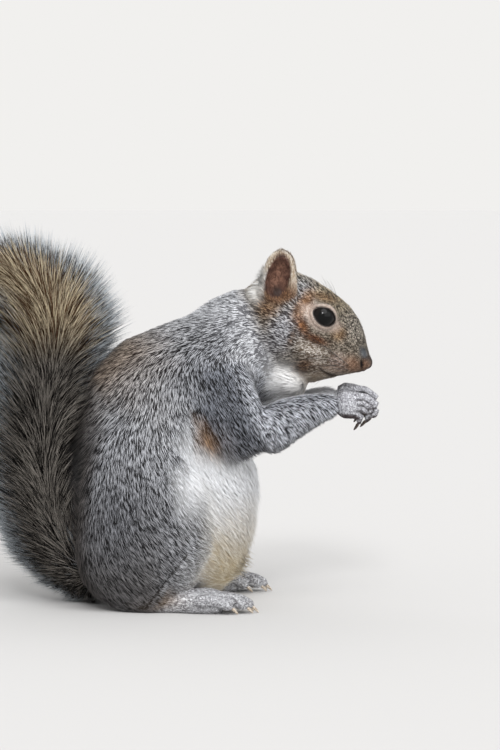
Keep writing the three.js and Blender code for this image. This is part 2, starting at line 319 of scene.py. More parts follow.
def inZones(zone, *names):
    # which places lie in the zones named
    return np.isin(zone, [zoneNames.index(name) for name in names])


def fleshNodes():
    return [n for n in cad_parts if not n.startswith(("eye", "claw", "tail"))]


def tailNodes():
    return [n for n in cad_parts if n.startswith("tail")]


def joined(names, growth):
    # copies of CAD nodes, grown by growth millimetres, in one bmesh, and the name index of each triangle
    whole = bmesh.new()
    owner = []
    for index, name in enumerate(names):
        part = bmesh.new()
        part.from_mesh(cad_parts[name].data)
        bmesh.ops.remove_doubles(part, verts=part.verts, dist=1e-6)
        part.normal_update()
        outwards = growth + (skinBuild["footGrowth"] if name.startswith("foot") else 0)
        for vert in part.verts:
            vert.co += vert.normal * outwards * mm
        mesh = meshFrom(part, "part")
        whole.from_mesh(mesh)
        owner += [index] * len(mesh.polygons)
        bpy.data.meshes.remove(mesh)
    return whole, owner


def remeshed(obj, name, voxel):
    modifier = obj.modifiers.new("remesh", "REMESH")
    modifier.mode = "VOXEL"
    modifier.voxel_size = voxel * mm
    return evaluated(obj, name)


def makeSkin():
    names = fleshNodes()
    whole, owner = joined(names, skinBuild["seamGrowth"])
    tree = BVHTree.FromBMesh(whole)
    eyes, _ = joined(["eye_left", "eye_right"], 0)
    whole.from_mesh(meshFrom(eyes, "eyes"))
    spine = tailSpine()
    addTube(whole, spine, np.linspace(*tailCore["radii"], len(spine)), tailCore["around"])
    skin = remeshed(newObject("skin", meshFrom(whole, "flesh")), "skin", skinBuild["voxel"])
    mesh = skin.data
    places = points(mesh)

    # the zone each vertex belongs to, and the core where it is nearer than any CAD flesh
    nearest = [tree.find_nearest(p)[2:] for p in places * mm]
    owners = np.array(owner)[[index for index, _ in nearest]]
    zone = np.array([zoneNames.index(zoneOf(n)) for n in names])[owners]
    fromFlesh = np.array([distance for _, distance in nearest]) / mm
    behind = places[:, 0] < corners("trunk")[0][0] + tailCore["within"]
    zone[(fromFlesh > tailCore["clear"]) & behind] = zoneNames.index("tail")
    edges = edgesOf(mesh)

    # smoothing by zone: repeated passes of a masked average, many on the trunk and few on toes and ears
    passes = blurred(np.array([zones[z]["smooth"] for z in zoneNames], float)[zone], edges, 10)
    step = 5
    for done in range(0, int(passes.max()), step):
        share = np.clip((passes - done) / step, 0, 1)[:, None]
        places += (blurred(places, edges, step) - places) * share
    setPoints(mesh, places)
    depth = np.array([zones[z]["depth"] for z in zoneNames], float)[zone]
    return skin, zone, edges, depth


skin, zone, edges, depth = makeSkin()
print("skin joined:", len(skin.data.vertices), "vertices")


# the skin sunk under the coat and sculpted: lids, nostrils, mouth and folds
lids = {
    "axis": (0.26, 0.10),        # how far the eye looks ahead and up, against 1 to its own side
    "turn": -3, "halfLength": 5.0, "halfHeight": 3.95, "corner": 0.9, "rim": 0.35, "sunk": 1.3, "reach": 11.5,
    "bulge": 0.6, "bulgeAt": 0.16, "bulgeWidth": 0.13,   # the lid's own swelling, past its edge in radians
    "blend": (0.22, 0.62), "edge": 0.09,                 # where the lid meets the face, and its edge
    "ringWidth": 2.3,
}
face = {
    "nostril": {"at": (26.0, -11.6), "reach": (0.9, 2.0), "turn": 30, "deep": 1.1},
    "nosePad": {"at": (29.6, -9.8), "reach": (1.9, 2.7), "turn": 20, "deep": -1.0},
    "philtrum": {"halfWidth": 0.45, "deep": 0.55, "under": -8.5, "ahead": 25.0},
    "mouth": {"line": [(9.6, -21.4), (12.5, -22.3), (16.0, -22.3), (19.2, -21.0), (22.6, -18.6),
                       (25.6, -16.6)],
              "halfWidth": 0.65, "deep": 1.0},
    "whiskerPad": {"at": (18.0, -15.6), "reach": (5.0, 3.8), "turn": -30, "deep": -0.7},
    "browFold": {"at": (-1.0, 8.6), "reach": (8.0, 1.6), "turn": -10, "deep": -0.5},
    "cheekFold": {"at": (5.5, -19.5), "reach": (4.0, 1.6), "turn": 40, "deep": 0.5},
}


def blob(ahead, up, spot):
    # 1 at a spot's middle, fading to 0 past its reach, turned in the head's profile
    turn = math.radians(spot.get("turn", 0))
    da, du = ahead - spot["at"][0], up - spot["at"][1]
    along = (da * math.cos(turn) + du * math.sin(turn)) / spot["reach"][0]
    across = (du * math.cos(turn) - da * math.sin(turn)) / spot["reach"][1]
    return np.exp(-(along ** 2 + across ** 2) ** 1.5)


def lineDistance(places, line):
    # distance of places from a bent line, in the plane or in space
    best = np.full(len(places), 1e9)
    for start, end in zip(np.array(line, float), np.array(line, float)[1:]):
        t = np.clip((places - start) @ (end - start) / ((end - start) @ (end - start)), 0, 1)
        best = np.minimum(best, np.linalg.norm(places - start - t[:, None] * (end - start), axis=1))
    return best


# the digits as they are drawn in the CAD, so that the gaps between them can be cut and darkened with painted
# shade
digits = {
    "origin": 24.6, "handLift": 1.3, "stride": 2, "footSpread": 34,
    "fingers": (13.6, 14, 11, 7), "gapWidth": 1.0, "gapDeep": 0.9, "grown": {"hand": 0.4, "foot": 0.0},
    "reach": {"hand": 1.7, "foot": 2.2}, "seenAlong": {"hand": (0, 2), "foot": (0, 1)},
    "knuckles": {"hand": (98, 103), "foot": (42, 47)},
}


def digitLines(limb, sign):
    # the knuckles of each finger or toe of one side
    if limb == "hand":
        x, lift = 71 + digits["origin"], digits["handLift"] * sign
        for i, length in enumerate(digits["fingers"]):
            y, z = 6.2 + 1.4 * i, 96.4 - 2.4 * i + lift
            yield [(x, y * sign, z), (x + 0.62 * length, (y - 0.6) * sign, z - 0.4),
                   (x + length, (y - 1.6) * sign, z - 0.3 * length),
                   (x + 0.82 * length, (y - 2.8) * sign, z - 0.3 * length - 3.4)]
    else:
        for fan in range(-2, 3):
            x = digits["origin"] + digits["stride"] * sign + 32 - 2.2 * fan * fan
            y = digits["footSpread"] + 2 + 3.1 * fan
            yield [(x - 18, (y - 1) * sign, 5.2), (x - 11, y * sign, 6.6),
                   (x - 4.5, (y + 0.2 * fan) * sign, 5.4),
                   (x, (y + 0.3 * fan) * sign, 2.8)]


def digitGaps(places, zone):
    # 1 in the gaps between neighbouring digits, 0 away from them, and 1 on the digits
    gaps, onDigit = np.zeros(len(places)), np.zeros(len(places))
    for limb, reach in digits["reach"].items():
        for sign in (-1, 1):
            here = np.nonzero(inZones(zone, limb) & (places[:, 1] * sign > 0))[0]
            plane = list(digits["seenAlong"][limb])
            near = np.sort([lineDistance(places[here][:, plane], np.array(line)[:, plane])
                            for line in digitLines(limb, sign)], axis=0)
            between = np.exp(-((near[1] - near[0]) / digits["gapWidth"]) ** 2)
            past = smoothStep(places[here, 0], *digits["knuckles"][limb])
            gaps[here] = between * past * (1 - smoothStep(near[0], reach, reach + 1.2))
            onDigit[here] = 1 - smoothStep(near[0], reach, reach + 1.2)
    return gaps, onDigit


def eyeAxis(sign):
    # which way the eye of one side looks
    return unit(noseward * lids["axis"][0] + crownward * lids["axis"][1] + np.array([0, sign, 0]))


def eyeView(places, side):
    # round one eye: distance from its centre, angle off its axis, the angle at which its lids open there, and
    # the way from its centre
    sign = 1 if side == "left" else -1
    axis = eyeAxis(sign)
    offset = places - eyeMiddles[side]
    distance = np.linalg.norm(offset, axis=1)
    height = offset @ axis
    flat = offset - height[:, None] * axis
    turn = math.radians(lids["turn"])
    lengthways = unit(noseward * math.cos(turn) + crownward * math.sin(turn))
    lengthways = unit(lengthways - (lengthways @ axis) * axis)
    upways = np.cross(lengthways, axis) * -sign
    around = np.arctan2(flat @ upways, flat @ lengthways)
    corner = 1 + 0.12 * lids["corner"] * np.abs(np.cos(around)) ** 6
    reach = corner / np.hypot(np.cos(around) / lids["halfLength"], np.sin(around) / lids["halfHeight"])
    opening = np.arcsin(np.clip(reach / (headFrame["eyeRadius"] + lids["rim"]), 0, 0.985))
    return distance, np.arctan2(np.linalg.norm(flat, axis=1), height), opening, offset


def sculptHead(places, outward, isHead):
    ahead, up, off = onHead(places)
    push = np.zeros(len(places))
    for name in ("nostril", "nosePad", "whiskerPad", "browFold", "cheekFold"):
        beside = smoothStep(off, 0.8, 2.2)
        push -= face[name]["deep"] * blob(ahead, up, face[name]) * beside
    mouth = face["mouth"]
    gap = lineDistance(np.c_[ahead, up], mouth["line"])
    push -= mouth["deep"] * np.exp(-(gap / mouth["halfWidth"]) ** 2) * (0.3 + 0.7 * smoothStep(off, 1, 3))
    philtrum = face["philtrum"]
    middleGroove = np.exp(-(off / philtrum["halfWidth"]) ** 2) * smoothStep(ahead, philtrum["ahead"], 27)
    underNose = 1 - smoothStep(up, philtrum["under"] - 1, philtrum["under"] + 1)
    push -= philtrum["deep"] * middleGroove * underNose
    places = places + outward * (push * isHead)[:, None]
    for side in ("left", "right"):
        distance, angle, opening, offset = eyeView(places, side)
        near = isHead * (distance < lids["reach"]) * (places[:, 1] * (1 if side == "left" else -1) > 2)
        past = angle - opening                                   # beyond the lid's edge, in radians
        rimRadius = headFrame["eyeRadius"] + lids["rim"]
        lid = rimRadius + lids["bulge"] * np.exp(-((past - lids["bulgeAt"]) / lids["bulgeWidth"]) ** 2)
        wanted = np.maximum(distance, lid)
        blended = lid + (wanted - lid) * smoothStep(past, *lids["blend"])
        wanted = np.where(past < lids["blend"][1], blended, distance)
        inside = headFrame["eyeRadius"] - lids["sunk"]
        wanted = np.where(past < 0, inside + (lid - inside) * smoothStep(past, -lids["edge"], 0), wanted)
        wanted = np.where(near > 0, wanted, distance)
        places = places + offset * (wanted / np.maximum(distance, 1e-6) - 1)[:, None]
    return places


def sinkSkin(skin, zone, edges, depth):
    # under the coat by its depth: shallow on the face, deeper towards the haunches' hem and the belly
    mesh = skin.data
    places = points(mesh)
    ahead, _, _ = onHead(places)
    isHead = inZones(zone, "head", "nose")
    faceDepth = skinBuild["muzzleDepth"] + skinBuild["crownMore"] * (1 - smoothStep(ahead, -6, 20))
    depth = np.where(isHead, faceDepth, depth)
    least = skinBuild["lidDepth"]
    for side in ("left", "right"):
        distance = np.linalg.norm(places - eyeMiddles[side], axis=1)
        depth = np.where(isHead, least + (depth - least) * smoothStep(distance, 7, 11), depth)
    outward = unit(blurred(normals(mesh), edges, 6))
    # the back and nape keep a thinner coat, so that their outline isn't low
    behindHead = 12 * smoothStep(places[:, 2], 128, 140) - ahead
    upper = smoothStep(outward[:, 2], 0.1, 0.7) * smoothStep(places[:, 2], 84, 100)
    upper = upper * smoothStep(behindHead, 30, 46)
    depth = depth - skinBuild["backRise"] * blurred(upper * inZones(zone, "trunk", "neck"), edges, 40)
    depth = blurred(depth, edges, skinBuild["zoneBlur"])
    gaps, onDigit = digitGaps(places, zone)
    grown = np.where(places[:, 2] > 60, digits["grown"]["hand"], digits["grown"]["foot"])
    sink = depth * (1 - onDigit) - grown * onDigit + digits["gapDeep"] * gaps
    sunk = places - outward * np.minimum(sink, np.maximum(places[:, 2] * 0.8 - 0.3, 0.35))[:, None]
    sunk[:, 2] = np.maximum(sunk[:, 2], skinBuild["floorGap"])
    headShare = blurred(isHead.astype(float), edges, 3)
    setPoints(mesh, sculptHead(sunk, outward, headShare))
    return depth


depth = sinkSkin(skin, zone, edges, depth)
print("skin sunk and sculpted")


# markings: pale is the colour of the hair tips, dark the colour between them
ground = {
    "head": ("#b5a999", "#30281f"), "nose": ("#6e625a", "#3a302b"), "ear": ("#9c8067", "#4a3324"),
    "neck": ("#f8faff", "#5a5a5e"), "trunk": ("#dfe1e6", "#222124"), "thigh": ("#c6c8ce", "#151417"),
    "shank": ("#cfd1d6", "#232224"), "foot": ("#f6f8fb", "#69676b"), "upper_arm": ("#91959f", "#0c0c0f"),
    "forearm": ("#eaeef7", "#28282d"), "hand": ("#f8faff", "#6f6d74"), "tail": ("#3a2e24", "#15100c"),
}
headMarks = {
    "crown": {"at": (2, 12), "reach": (22, 7), "turn": -8, "tone": ("#cdbd9f", "#120d08"), "much": 0.9},
    "bridge": {"at": (17, 3), "reach": (9, 7), "turn": -40, "tone": ("#d0c6b8", "#0f0b09"), "much": 0.92},
    "temple": {"at": (-12, 6), "reach": (6, 6), "tone": ("#dfe2e8", "#2c2929"), "much": 0.8},
    "jaw": {"at": (-12, -13), "reach": (8, 13), "tone": ("#eef0f6", "#434044"), "much": 0.9},
    "cheek": {"at": (4, -16.0), "reach": (8.5, 5), "turn": -8, "tone": ("#fbf5ec", "#6f5d4c"), "much": 0.92},
    "rustBehind": {"at": (-9.0, 0.2), "reach": (3.0, 7.4), "turn": -4, "tone": ("#b58350", "#5f3e23"),
                   "much": 0.95},
    "rustOver": {"at": (-3.5, 7.6), "reach": (7.0, 1.9), "turn": 12, "tone": ("#ae8a60", "#503722"),
                 "much": 0.7},
    "tear": {"at": (10.4, -3.6), "reach": (3.6, 3.4), "turn": -30, "tone": ("#b8966c", "#563c26"),
             "much": 0.8},
    "whiskerBed": {"at": (16.6, -15.6), "reach": (4.8, 3.8), "turn": -30, "tone": ("#ead9cf", "#8a7467"),
                   "much": 0.85},
    "muzzle": {"at": (22.6, -13.6), "reach": (4.2, 3.4), "turn": -35, "tone": ("#b8957c", "#6a4f3e"),
               "much": 0.92},
    "lip": {"at": (15.5, -19.6), "reach": (7.5, 1.9), "turn": 12, "tone": ("#d6c8bb", "#937d6c"),
            "much": 0.85},
    "chin": {"at": (10, -27), "reach": (9, 3.6), "turn": 20, "tone": ("#d3c8ba", "#94826f"), "much": 0.9},
    "throat": {"at": (-0.6, -33.6), "reach": (9.0, 7.4), "turn": -22, "tone": ("#ffffff", "#f0efee"),
               "much": 1.0},
    "rustCorner": {"at": (-5.2, -7.6), "reach": (4.2, 2.4), "turn": -38, "tone": ("#a36c3d", "#4c2d17"),
                   "much": 0.95},
    "rustUnder": {"at": (2.6, -10.4), "reach": (6.4, 2.1), "turn": 4, "tone": ("#845433", "#382113"),
                  "much": 0.98},
    "smudge": {"at": (3.6, -23.4), "reach": (3.4, 4.8), "turn": -24, "tone": ("#84644a", "#302017"),
               "much": 0.9},
    "dash": {"at": (-6.8, -14.2), "reach": (1.4, 4.8), "turn": 6, "tone": ("#7a5c42", "#281c14"),
             "much": 0.9},
    "slate": {"at": (24.6, -6.8), "reach": (3.2, 1.7), "turn": -42, "tone": ("#555b62", "#363a40"),
              "much": 0.95},
    "noseTan": {"at": (27.2, -11.4), "reach": (2.4, 2.8), "turn": 20, "tone": ("#9c7c66", "#5f4636"),
                "much": 0.92},
    "noseFront": {"at": (30.4, -9.4), "reach": (2.3, 4.4), "turn": 20, "tone": ("#392824", "#18100e"),
                  "much": 0.97},
    "shoulder": {"at": (-11, -40), "reach": (7.5, 12), "turn": 27, "tone": ("#a9adb6", "#17171a"),
                 "much": 0.9},
    "behindEar": {"at": (-22.6, -6.6), "reach": (5.4, 5.4), "turn": 20, "tone": ("#a17c58", "#3f2a1b"),
                  "much": 0.85},
}
whiskerDots = {"first": (14.2, -13.2), "along": (2.1, -0.5), "down": (0.9, -2.0), "rows": 3, "columns": 4,
               "radius": 0.42, "tone": ("#2a201b", "#2a201b")}
# the nostril and mouth tones are painted shade in the nostrils and along the mouth's crease; the lid's ring
# and edge are its own colours
faceTones = {
    "lidRing": {"tone": ("#dccfc5", "#b39f92")}, "lidEdge": {"tone": ("#1a1413", "#1a1413")},
    "nostril": {"tone": ("#140c0a", "#140c0a"), "much": 1.6}, "mouth": {"tone": ("#241512", "#241512")},
}
# marks on the body, in millimetres ahead and up in the frame; facing is how squarely the skin looks that way
bodyMarks = {
    "back": {"at": (-9, 113), "reach": (23, 13), "turn": 25, "tone": ("#b7a28c", "#2f2219"), "much": 0.95},
    "rump": {"at": (-27, 88), "reach": (6, 26), "turn": 10, "tone": ("#84715d", "#211812"), "much": 0.9},
    # shade is painted shade: the haunches and flanks darker towards the floor and towards the rear
    "shade": {"heights": (12, 74), "ahead": (4, 26), "tone": ("#74706f", "#191817"), "much": 0.85},
    "hip": {"at": (-8, 46), "reach": (20, 17), "turn": 60, "tone": ("#94969d", "#0d0c0f"), "much": 0.75},
    # painted shadow on the rear-facing skin below where the tail lies against the back
    "tailShadow": {"facing": (0.4, 0.85), "heights": (84, 100), "tone": ("#4e443d", "#0f0c0b"), "much": 0.85},
    "belly": {"edge": [(7, 20), (28, 27.5), (37.3, 31.4), (46.5, 28.5), (53.4, 24), (59.3, 20.5), (66, 21),
                       (75.9, 25)],
              "soft": 2.5, "heights": (74, 78), "tone": ("#f9fbff", "#e3e4e6")},
    "chest": {"facing": (0.35, 0.75), "ahead": (30, 40), "width": (14, 20), "heights": (60, 70)},
    "innerLeg": {"facing": (0.1, 0.5), "ahead": (0, 12), "heights": (58, 70)},
    "fringe": {"facing": (0.45, 0.85), "heights": (50, 66), "foot": (9, 16), "tone": ("#f0eee9", "#9d9a95"),
               "much": 0.8},
    "innerArm": {"facing": (-0.2, 0.3), "tone": ("#f2f4f8", "#c6c6cb")},
    "cream": {"heights": (22, 50), "ahead": (24, 34), "tone": ("#f4ead0", "#c0a56b"), "much": 0.85},
    "rust": {"line": [(10, 93.5), (22, 86), (29.5, 81.6), (39.0, 74.2)], "width": 2.8,
             "tone": ("#b08a62", "#5f4530")},
    # underarm is painted shade on the arms' downward-facing skin
    "underarmShade": {"facing": (0.2, 0.8), "ahead": (40, 50), "tone": ("#83807f", "#1d1a19"), "much": 0.5},
    "ankle": {"at": (13, 6), "reach": (9, 4), "tone": ("#a98e70", "#5c4631"), "much": 0.6},
    "palm": {"facing": (0.25, 0.7), "heights": (86, 92), "tone": ("#6d6164", "#241c1e")},
    # gaps is painted shade between the fingers and toes
    "gaps": {"tone": ("#4a4346", "#171213"), "much": 0.95},
}
# the ears' shade and canal tones are painted shade: on the hollow's walls and in the canal's opening
earMarks = {
    "skin": {"tone": ("#83604f", "#472c22")}, "shade": {"tone": ("#52342a", "#311d16"), "much": 0.8},
    "canal": {"tone": ("#2e1c15", "#2e1c15"), "much": 1.2}, "foot": {"tone": ("#9c7453", "#4a3121")},
    "rim": {"tone": ("#efe8dc", "#a3907a"), "much": 0.95}, "fluff": {"tone": ("#ffffff", "#e6e3de")},
    "rear": {"tone": ("#b3aaa0", "#51443a"), "much": 0.9},
}
earShape = {"hollow": (65.4, 149.6), "half": (5.8, 10.4), "lean": 9, "widens": 0.035,
            "foot": {"at": (66.5, 141.5), "reach": (8.5, 5.5)},
            "canal": {"at": (64.8, 142.6), "reach": (2.2, 2.8)},
            "fluff": {"at": (57.2, 144.5), "reach": (3.4, 6.5)}}


def whiskerSpots():
    # where each whisker of the pads stands on the head, with its column and row
    first, along, down = (np.array(whiskerDots[key]) for key in ("first", "along", "down"))
    for row in range(whiskerDots["rows"]):
        for column in range(whiskerDots["columns"]):
            yield first + along * column + down * row, column, row


def tones(mesh, zone, edges):
    # tip colour and under colour at every vertex, in linear light
    places, outward = points(mesh), normals(mesh)
    pale = np.array([linear(ground[z][0])[:3] for z in zoneNames])[zone]
    dark = np.array([linear(ground[z][1])[:3] for z in zoneNames])[zone]
    pale, dark = blurred(pale, edges, 30), blurred(dark, edges, 30)
    ahead, up, off = onHead(places)
    x, y, z = places.T
    isZone = {name: (zone == i).astype(float) for i, name in enumerate(zoneNames)}
    soft = {name: blurred(isZone[name], edges, 12) for name in zoneNames}

    def mark(weight, spot):
        nonlocal pale, dark
        weight = np.clip(weight * spot.get("much", 1), 0, 1)[:, None]
        pale = pale + (np.array(linear(spot["tone"][0])[:3]) - pale) * weight
        dark = dark + (np.array(linear(spot["tone"][1])[:3]) - dark) * weight

    # trunk, haunches and arms
    torso = soft["trunk"] + soft["thigh"] + soft["shank"] + soft["tail"]
    legs, arms = soft["thigh"] + soft["shank"], soft["upper_arm"] + soft["forearm"]
    forwards, downwards, inwards = outward[:, 0], -outward[:, 2], -outward[:, 1] * np.sign(y)
    marks = bodyMarks
    mark(blob(x, z, marks["back"]) * (torso + soft["neck"]), marks["back"])
    mark(blob(x, z, marks["rump"]) * torso, marks["rump"])
    # painted shade: the torso darker low down and towards the rear
    shade = marks["shade"]
    mark((1 - smoothStep(z, *shade["heights"])) * (1 - smoothStep(x, *shade["ahead"])) * torso, shade)
    mark(blob(x, z, marks["hip"]) * (soft["thigh"] + soft["trunk"]), marks["hip"])
    # painted shadow where the tail lies against the back
    tailShadow = marks["tailShadow"]
    mark(smoothStep(-forwards, *tailShadow["facing"]) * (1 - smoothStep(z, *tailShadow["heights"])) * torso,
         tailShadow)
    side, chest, innerLeg = marks["belly"], marks["chest"], marks["innerLeg"]
    edgeHeights, edgeXs = np.array(side["edge"]).T
    belly = smoothStep(x - np.interp(z, edgeHeights, edgeXs), -side["soft"], side["soft"])
    belly = belly * (1 - smoothStep(z, *side["heights"])) * (soft["trunk"] + soft["thigh"])
    front = smoothStep(forwards, *chest["facing"]) * smoothStep(x, *chest["ahead"])
    front = front * (1 - smoothStep(np.abs(y), *chest["width"])) * smoothStep(z, *chest["heights"])
    belly = np.maximum(belly, front * (soft["trunk"] + soft["neck"]))
    inside = smoothStep(inwards, *innerLeg["facing"]) * legs
    belly = np.maximum(belly, inside * smoothStep(x, *innerLeg["ahead"])
                       * (1 - smoothStep(z, *innerLeg["heights"])))
    mark(belly, side)
    fringe, cream, rust = marks["fringe"], marks["cream"], marks["rust"]
    legFront = smoothStep(forwards, *fringe["facing"]) * legs * (1 - smoothStep(z, *fringe["heights"]))
    mark(legFront * smoothStep(z, *fringe["foot"]), fringe)
    mark(smoothStep(inwards, *marks["innerArm"]["facing"]) * arms, marks["innerArm"])
    mark(belly * (1 - smoothStep(z, *cream["heights"])) * smoothStep(x, *cream["ahead"]), cream)
    onLine = np.exp(-(lineDistance(np.c_[x, z], rust["line"]) / rust["width"]) ** 2)
    mark(onLine * (soft["trunk"] + soft["thigh"] + soft["upper_arm"]) * (1 - inside), rust)
    # the underarm mark is painted shade under the arms
    underarmShade, ankle, palm = marks["underarmShade"], marks["ankle"], marks["palm"]
    mark(smoothStep(downwards, *underarmShade["facing"]) * arms * smoothStep(x, *underarmShade["ahead"]), underarmShade)
    away = ((x - ankle["at"][0]) / ankle["reach"][0]) ** 2 + ((z - ankle["at"][1]) / ankle["reach"][1]) ** 2
    mark(np.exp(-away) * (soft["shank"] + soft["foot"]), ankle)
    mark(smoothStep(downwards, *palm["facing"]) * isZone["hand"] * (1 - smoothStep(z, *palm["heights"])),
         palm)
    gaps, onDigit = digitGaps(places, zone)
    # painted shade in the gaps between the digits
    mark(gaps, marks["gaps"])

    # hair of the tail that faces sideways, or lies against the back, has no silver tip; against the back the
    # hair stays dark as painted shade between the tail and the back
    facing = smoothStep(np.abs(outward[:, 1]), 0.45, 0.85) * isZone["tail"]
    against = smoothStep(outward[:, 0], 0.0, 0.5) * (1 - smoothStep(z, 82, 96)) * isZone["tail"]

    # head
    onFace = np.clip(soft["head"] + soft["nose"] + soft["neck"], 0, 1)
    for name, spot in headMarks.items():
        reachBack = 1 if name in ("throat", "behindEar") else smoothStep(ahead, -26, -14)
        narrow = 1 - smoothStep(off, 2.9, 4.3) if name == "noseFront" else 1
        mark(blob(ahead, up, spot) * onFace * reachBack * narrow, spot)
    for side in ("left", "right"):
        distance, angle, opening, _ = eyeView(places, side)
        past = (angle - opening) * headFrame["eyeRadius"]
        close = (distance < 11) * isZone["head"]
        ring = 1 - smoothStep(past, lids["ringWidth"] * 0.8, lids["ringWidth"] * 1.35)
        mark(close * smoothStep(past, -0.6, 0.2) * ring, faceTones["lidRing"])
        mark(close * (1 - smoothStep(past, 0.1, 0.5)), faceTones["lidEdge"])
    # painted shade in the nostrils
    mark(blob(ahead, up, face["nostril"]) * smoothStep(off, 0.8, 1.8) * onFace, faceTones["nostril"])
    # painted shade along the mouth's crease
    mouth = lineDistance(np.c_[ahead, up], face["mouth"]["line"]) / (face["mouth"]["halfWidth"] * 0.8)
    mark(np.exp(-mouth ** 2) * onFace * (0.2 + 0.7 * smoothStep(off, 1, 3)), faceTones["mouth"])

    for spot, _, _ in whiskerSpots():
        away = np.hypot(ahead - spot[0], up - spot[1]) / whiskerDots["radius"]
        mark(np.exp(-away ** 2) * onFace * smoothStep(off, 2, 4), whiskerDots)

    # ears: bare skin in the hollow with painted shade towards its edges, painted shade darker down the canal,
    # a cream rim, white fluff behind
    low, high = corners("ear_right")
    rise = (z - low[2]) / (high[2] - low[2])
    outside = smoothStep(-inwards, -0.35, 0.0)
    lean = math.radians(earShape["lean"])
    across, upwards = x - earShape["hollow"][0], z - earShape["hollow"][1]
    forward = across * math.cos(lean) - upwards * math.sin(lean)
    along = upwards * math.cos(lean) + across * math.sin(lean)
    widened = 1 + earShape["widens"] * np.clip(-along, -6, 8) * (forward < 0)
    fromHollow = np.hypot(forward / earShape["half"][0] / widened, along / earShape["half"][1])
    hollow = isZone["ear"] * outside * (1 - smoothStep(fromHollow, 0.85, 1.05))
    mark(soft["ear"] * (1 - smoothStep(-inwards, -0.5, 0.0)), earMarks["rear"])
    edge = smoothStep(fromHollow, 0.85, 1.05) * smoothStep(-inwards, -0.6, -0.2)
    mark(soft["ear"] * edge * smoothStep(rise, 0.3, 0.5), earMarks["rim"])
    mark(soft["ear"] * outside * blob(x, z, earShape["foot"]), earMarks["foot"])
    mark(hollow, earMarks["skin"])
    # painted shade on the hollow's walls
    mark(hollow * smoothStep(fromHollow, 0.35, 0.85), earMarks["shade"])
    # painted shade in the canal's opening
    mark(soft["ear"] * outside * blob(x, z, earShape["canal"]), earMarks["canal"])
    rear = soft["ear"] * smoothStep(-forward, 4.2, 6.0) * (1 - smoothStep(rise, 0.6, 0.8)) * (1 - hollow)
    rear = np.maximum(rear, blob(x, z, earShape["fluff"]) * (soft["head"] + soft["neck"])
                      * smoothStep(off, 5, 9))
    mark(rear, earMarks["fluff"])
    return pale, dark, {"belly": belly, "hollow": hollow, "gaps": gaps, "onDigit": onDigit, "rear": rear,
                        "band": (1 - facing) * (1 - against)}


pale, dark, shares = tones(skin.data, zone, edges)
print("markings set")


# the coat: tufts grown from the skin by one Geometry Nodes tree
grow = {
    "patch": 0.003,                 # side of a tuft's patch on the OFBake map
    "floorGap": 0.2,                # millimetres that tips stay above the floor
    "sway": 0.28, "swaySize": 13,   # slow swirl of the lie, and its size in millimetres
    "softShading": 2.0,             # how far a hair is lit as the surface under it is
}
# clump is how far tips gather into locks, lock a lock's size in millimetres, short the least share of length,
# stray the scatter of the lie, and flat how thick a tuft is against its breadth
coatUsual = {"flat": 0.025, "clump": 0.3, "lock": 1.5, "short": 0.7, "stray": 0.14, "slot": "coat_grey"}
coatPieces = {
    "coat_head": {"zones": ("head", "nose"), "tufts": 46000, "flat": 0.03, "lock": 1.1, "slot": "coat_face",
                  "seed": 11},
    "coat_ears": {"zones": ("ear",), "tufts": 8000, "clump": 0.4, "lock": 1.2, "slot": "coat_face",
                  "seed": 12},
    "coat_neck": {"zones": ("neck",), "tufts": 24000, "clump": 0.35, "lock": 1.6, "seed": 13},
    "coat_trunk_left": {"zones": ("trunk",), "side": 1, "belly": False, "tufts": 24500, "seed": 14},
    "coat_trunk_right": {"zones": ("trunk",), "side": -1, "belly": False, "tufts": 24500, "seed": 15},
    "coat_belly": {"zones": ("trunk",), "belly": True, "tufts": 14000, "flat": 0.02, "lock": 2.2,
                   "short": 0.55, "stray": 0.34, "slot": "coat_pale", "seed": 20},
    "coat_haunch_left": {"zones": ("thigh", "shank"), "side": 1, "tufts": 29000, "seed": 16},
    "coat_haunch_right": {"zones": ("thigh", "shank"), "side": -1, "tufts": 29000, "seed": 17},
    "coat_arms": {"zones": ("upper_arm", "forearm"), "tufts": 35000, "clump": 0.35, "lock": 1.6, "seed": 18},
    "coat_paws": {"zones": ("hand", "foot"), "tufts": 20000, "flat": 0.04, "clump": 0.12, "lock": 0.9,
                  "slot": "coat_pale", "seed": 19},
}
tailPieces = {"count": 4, "tufts": 31500, "flat": 0.008, "short": 0.6, "stray": 0.55, "clump": 0.36,
              "lock": 3.4, "slot": "coat_tail", "seed": 31}


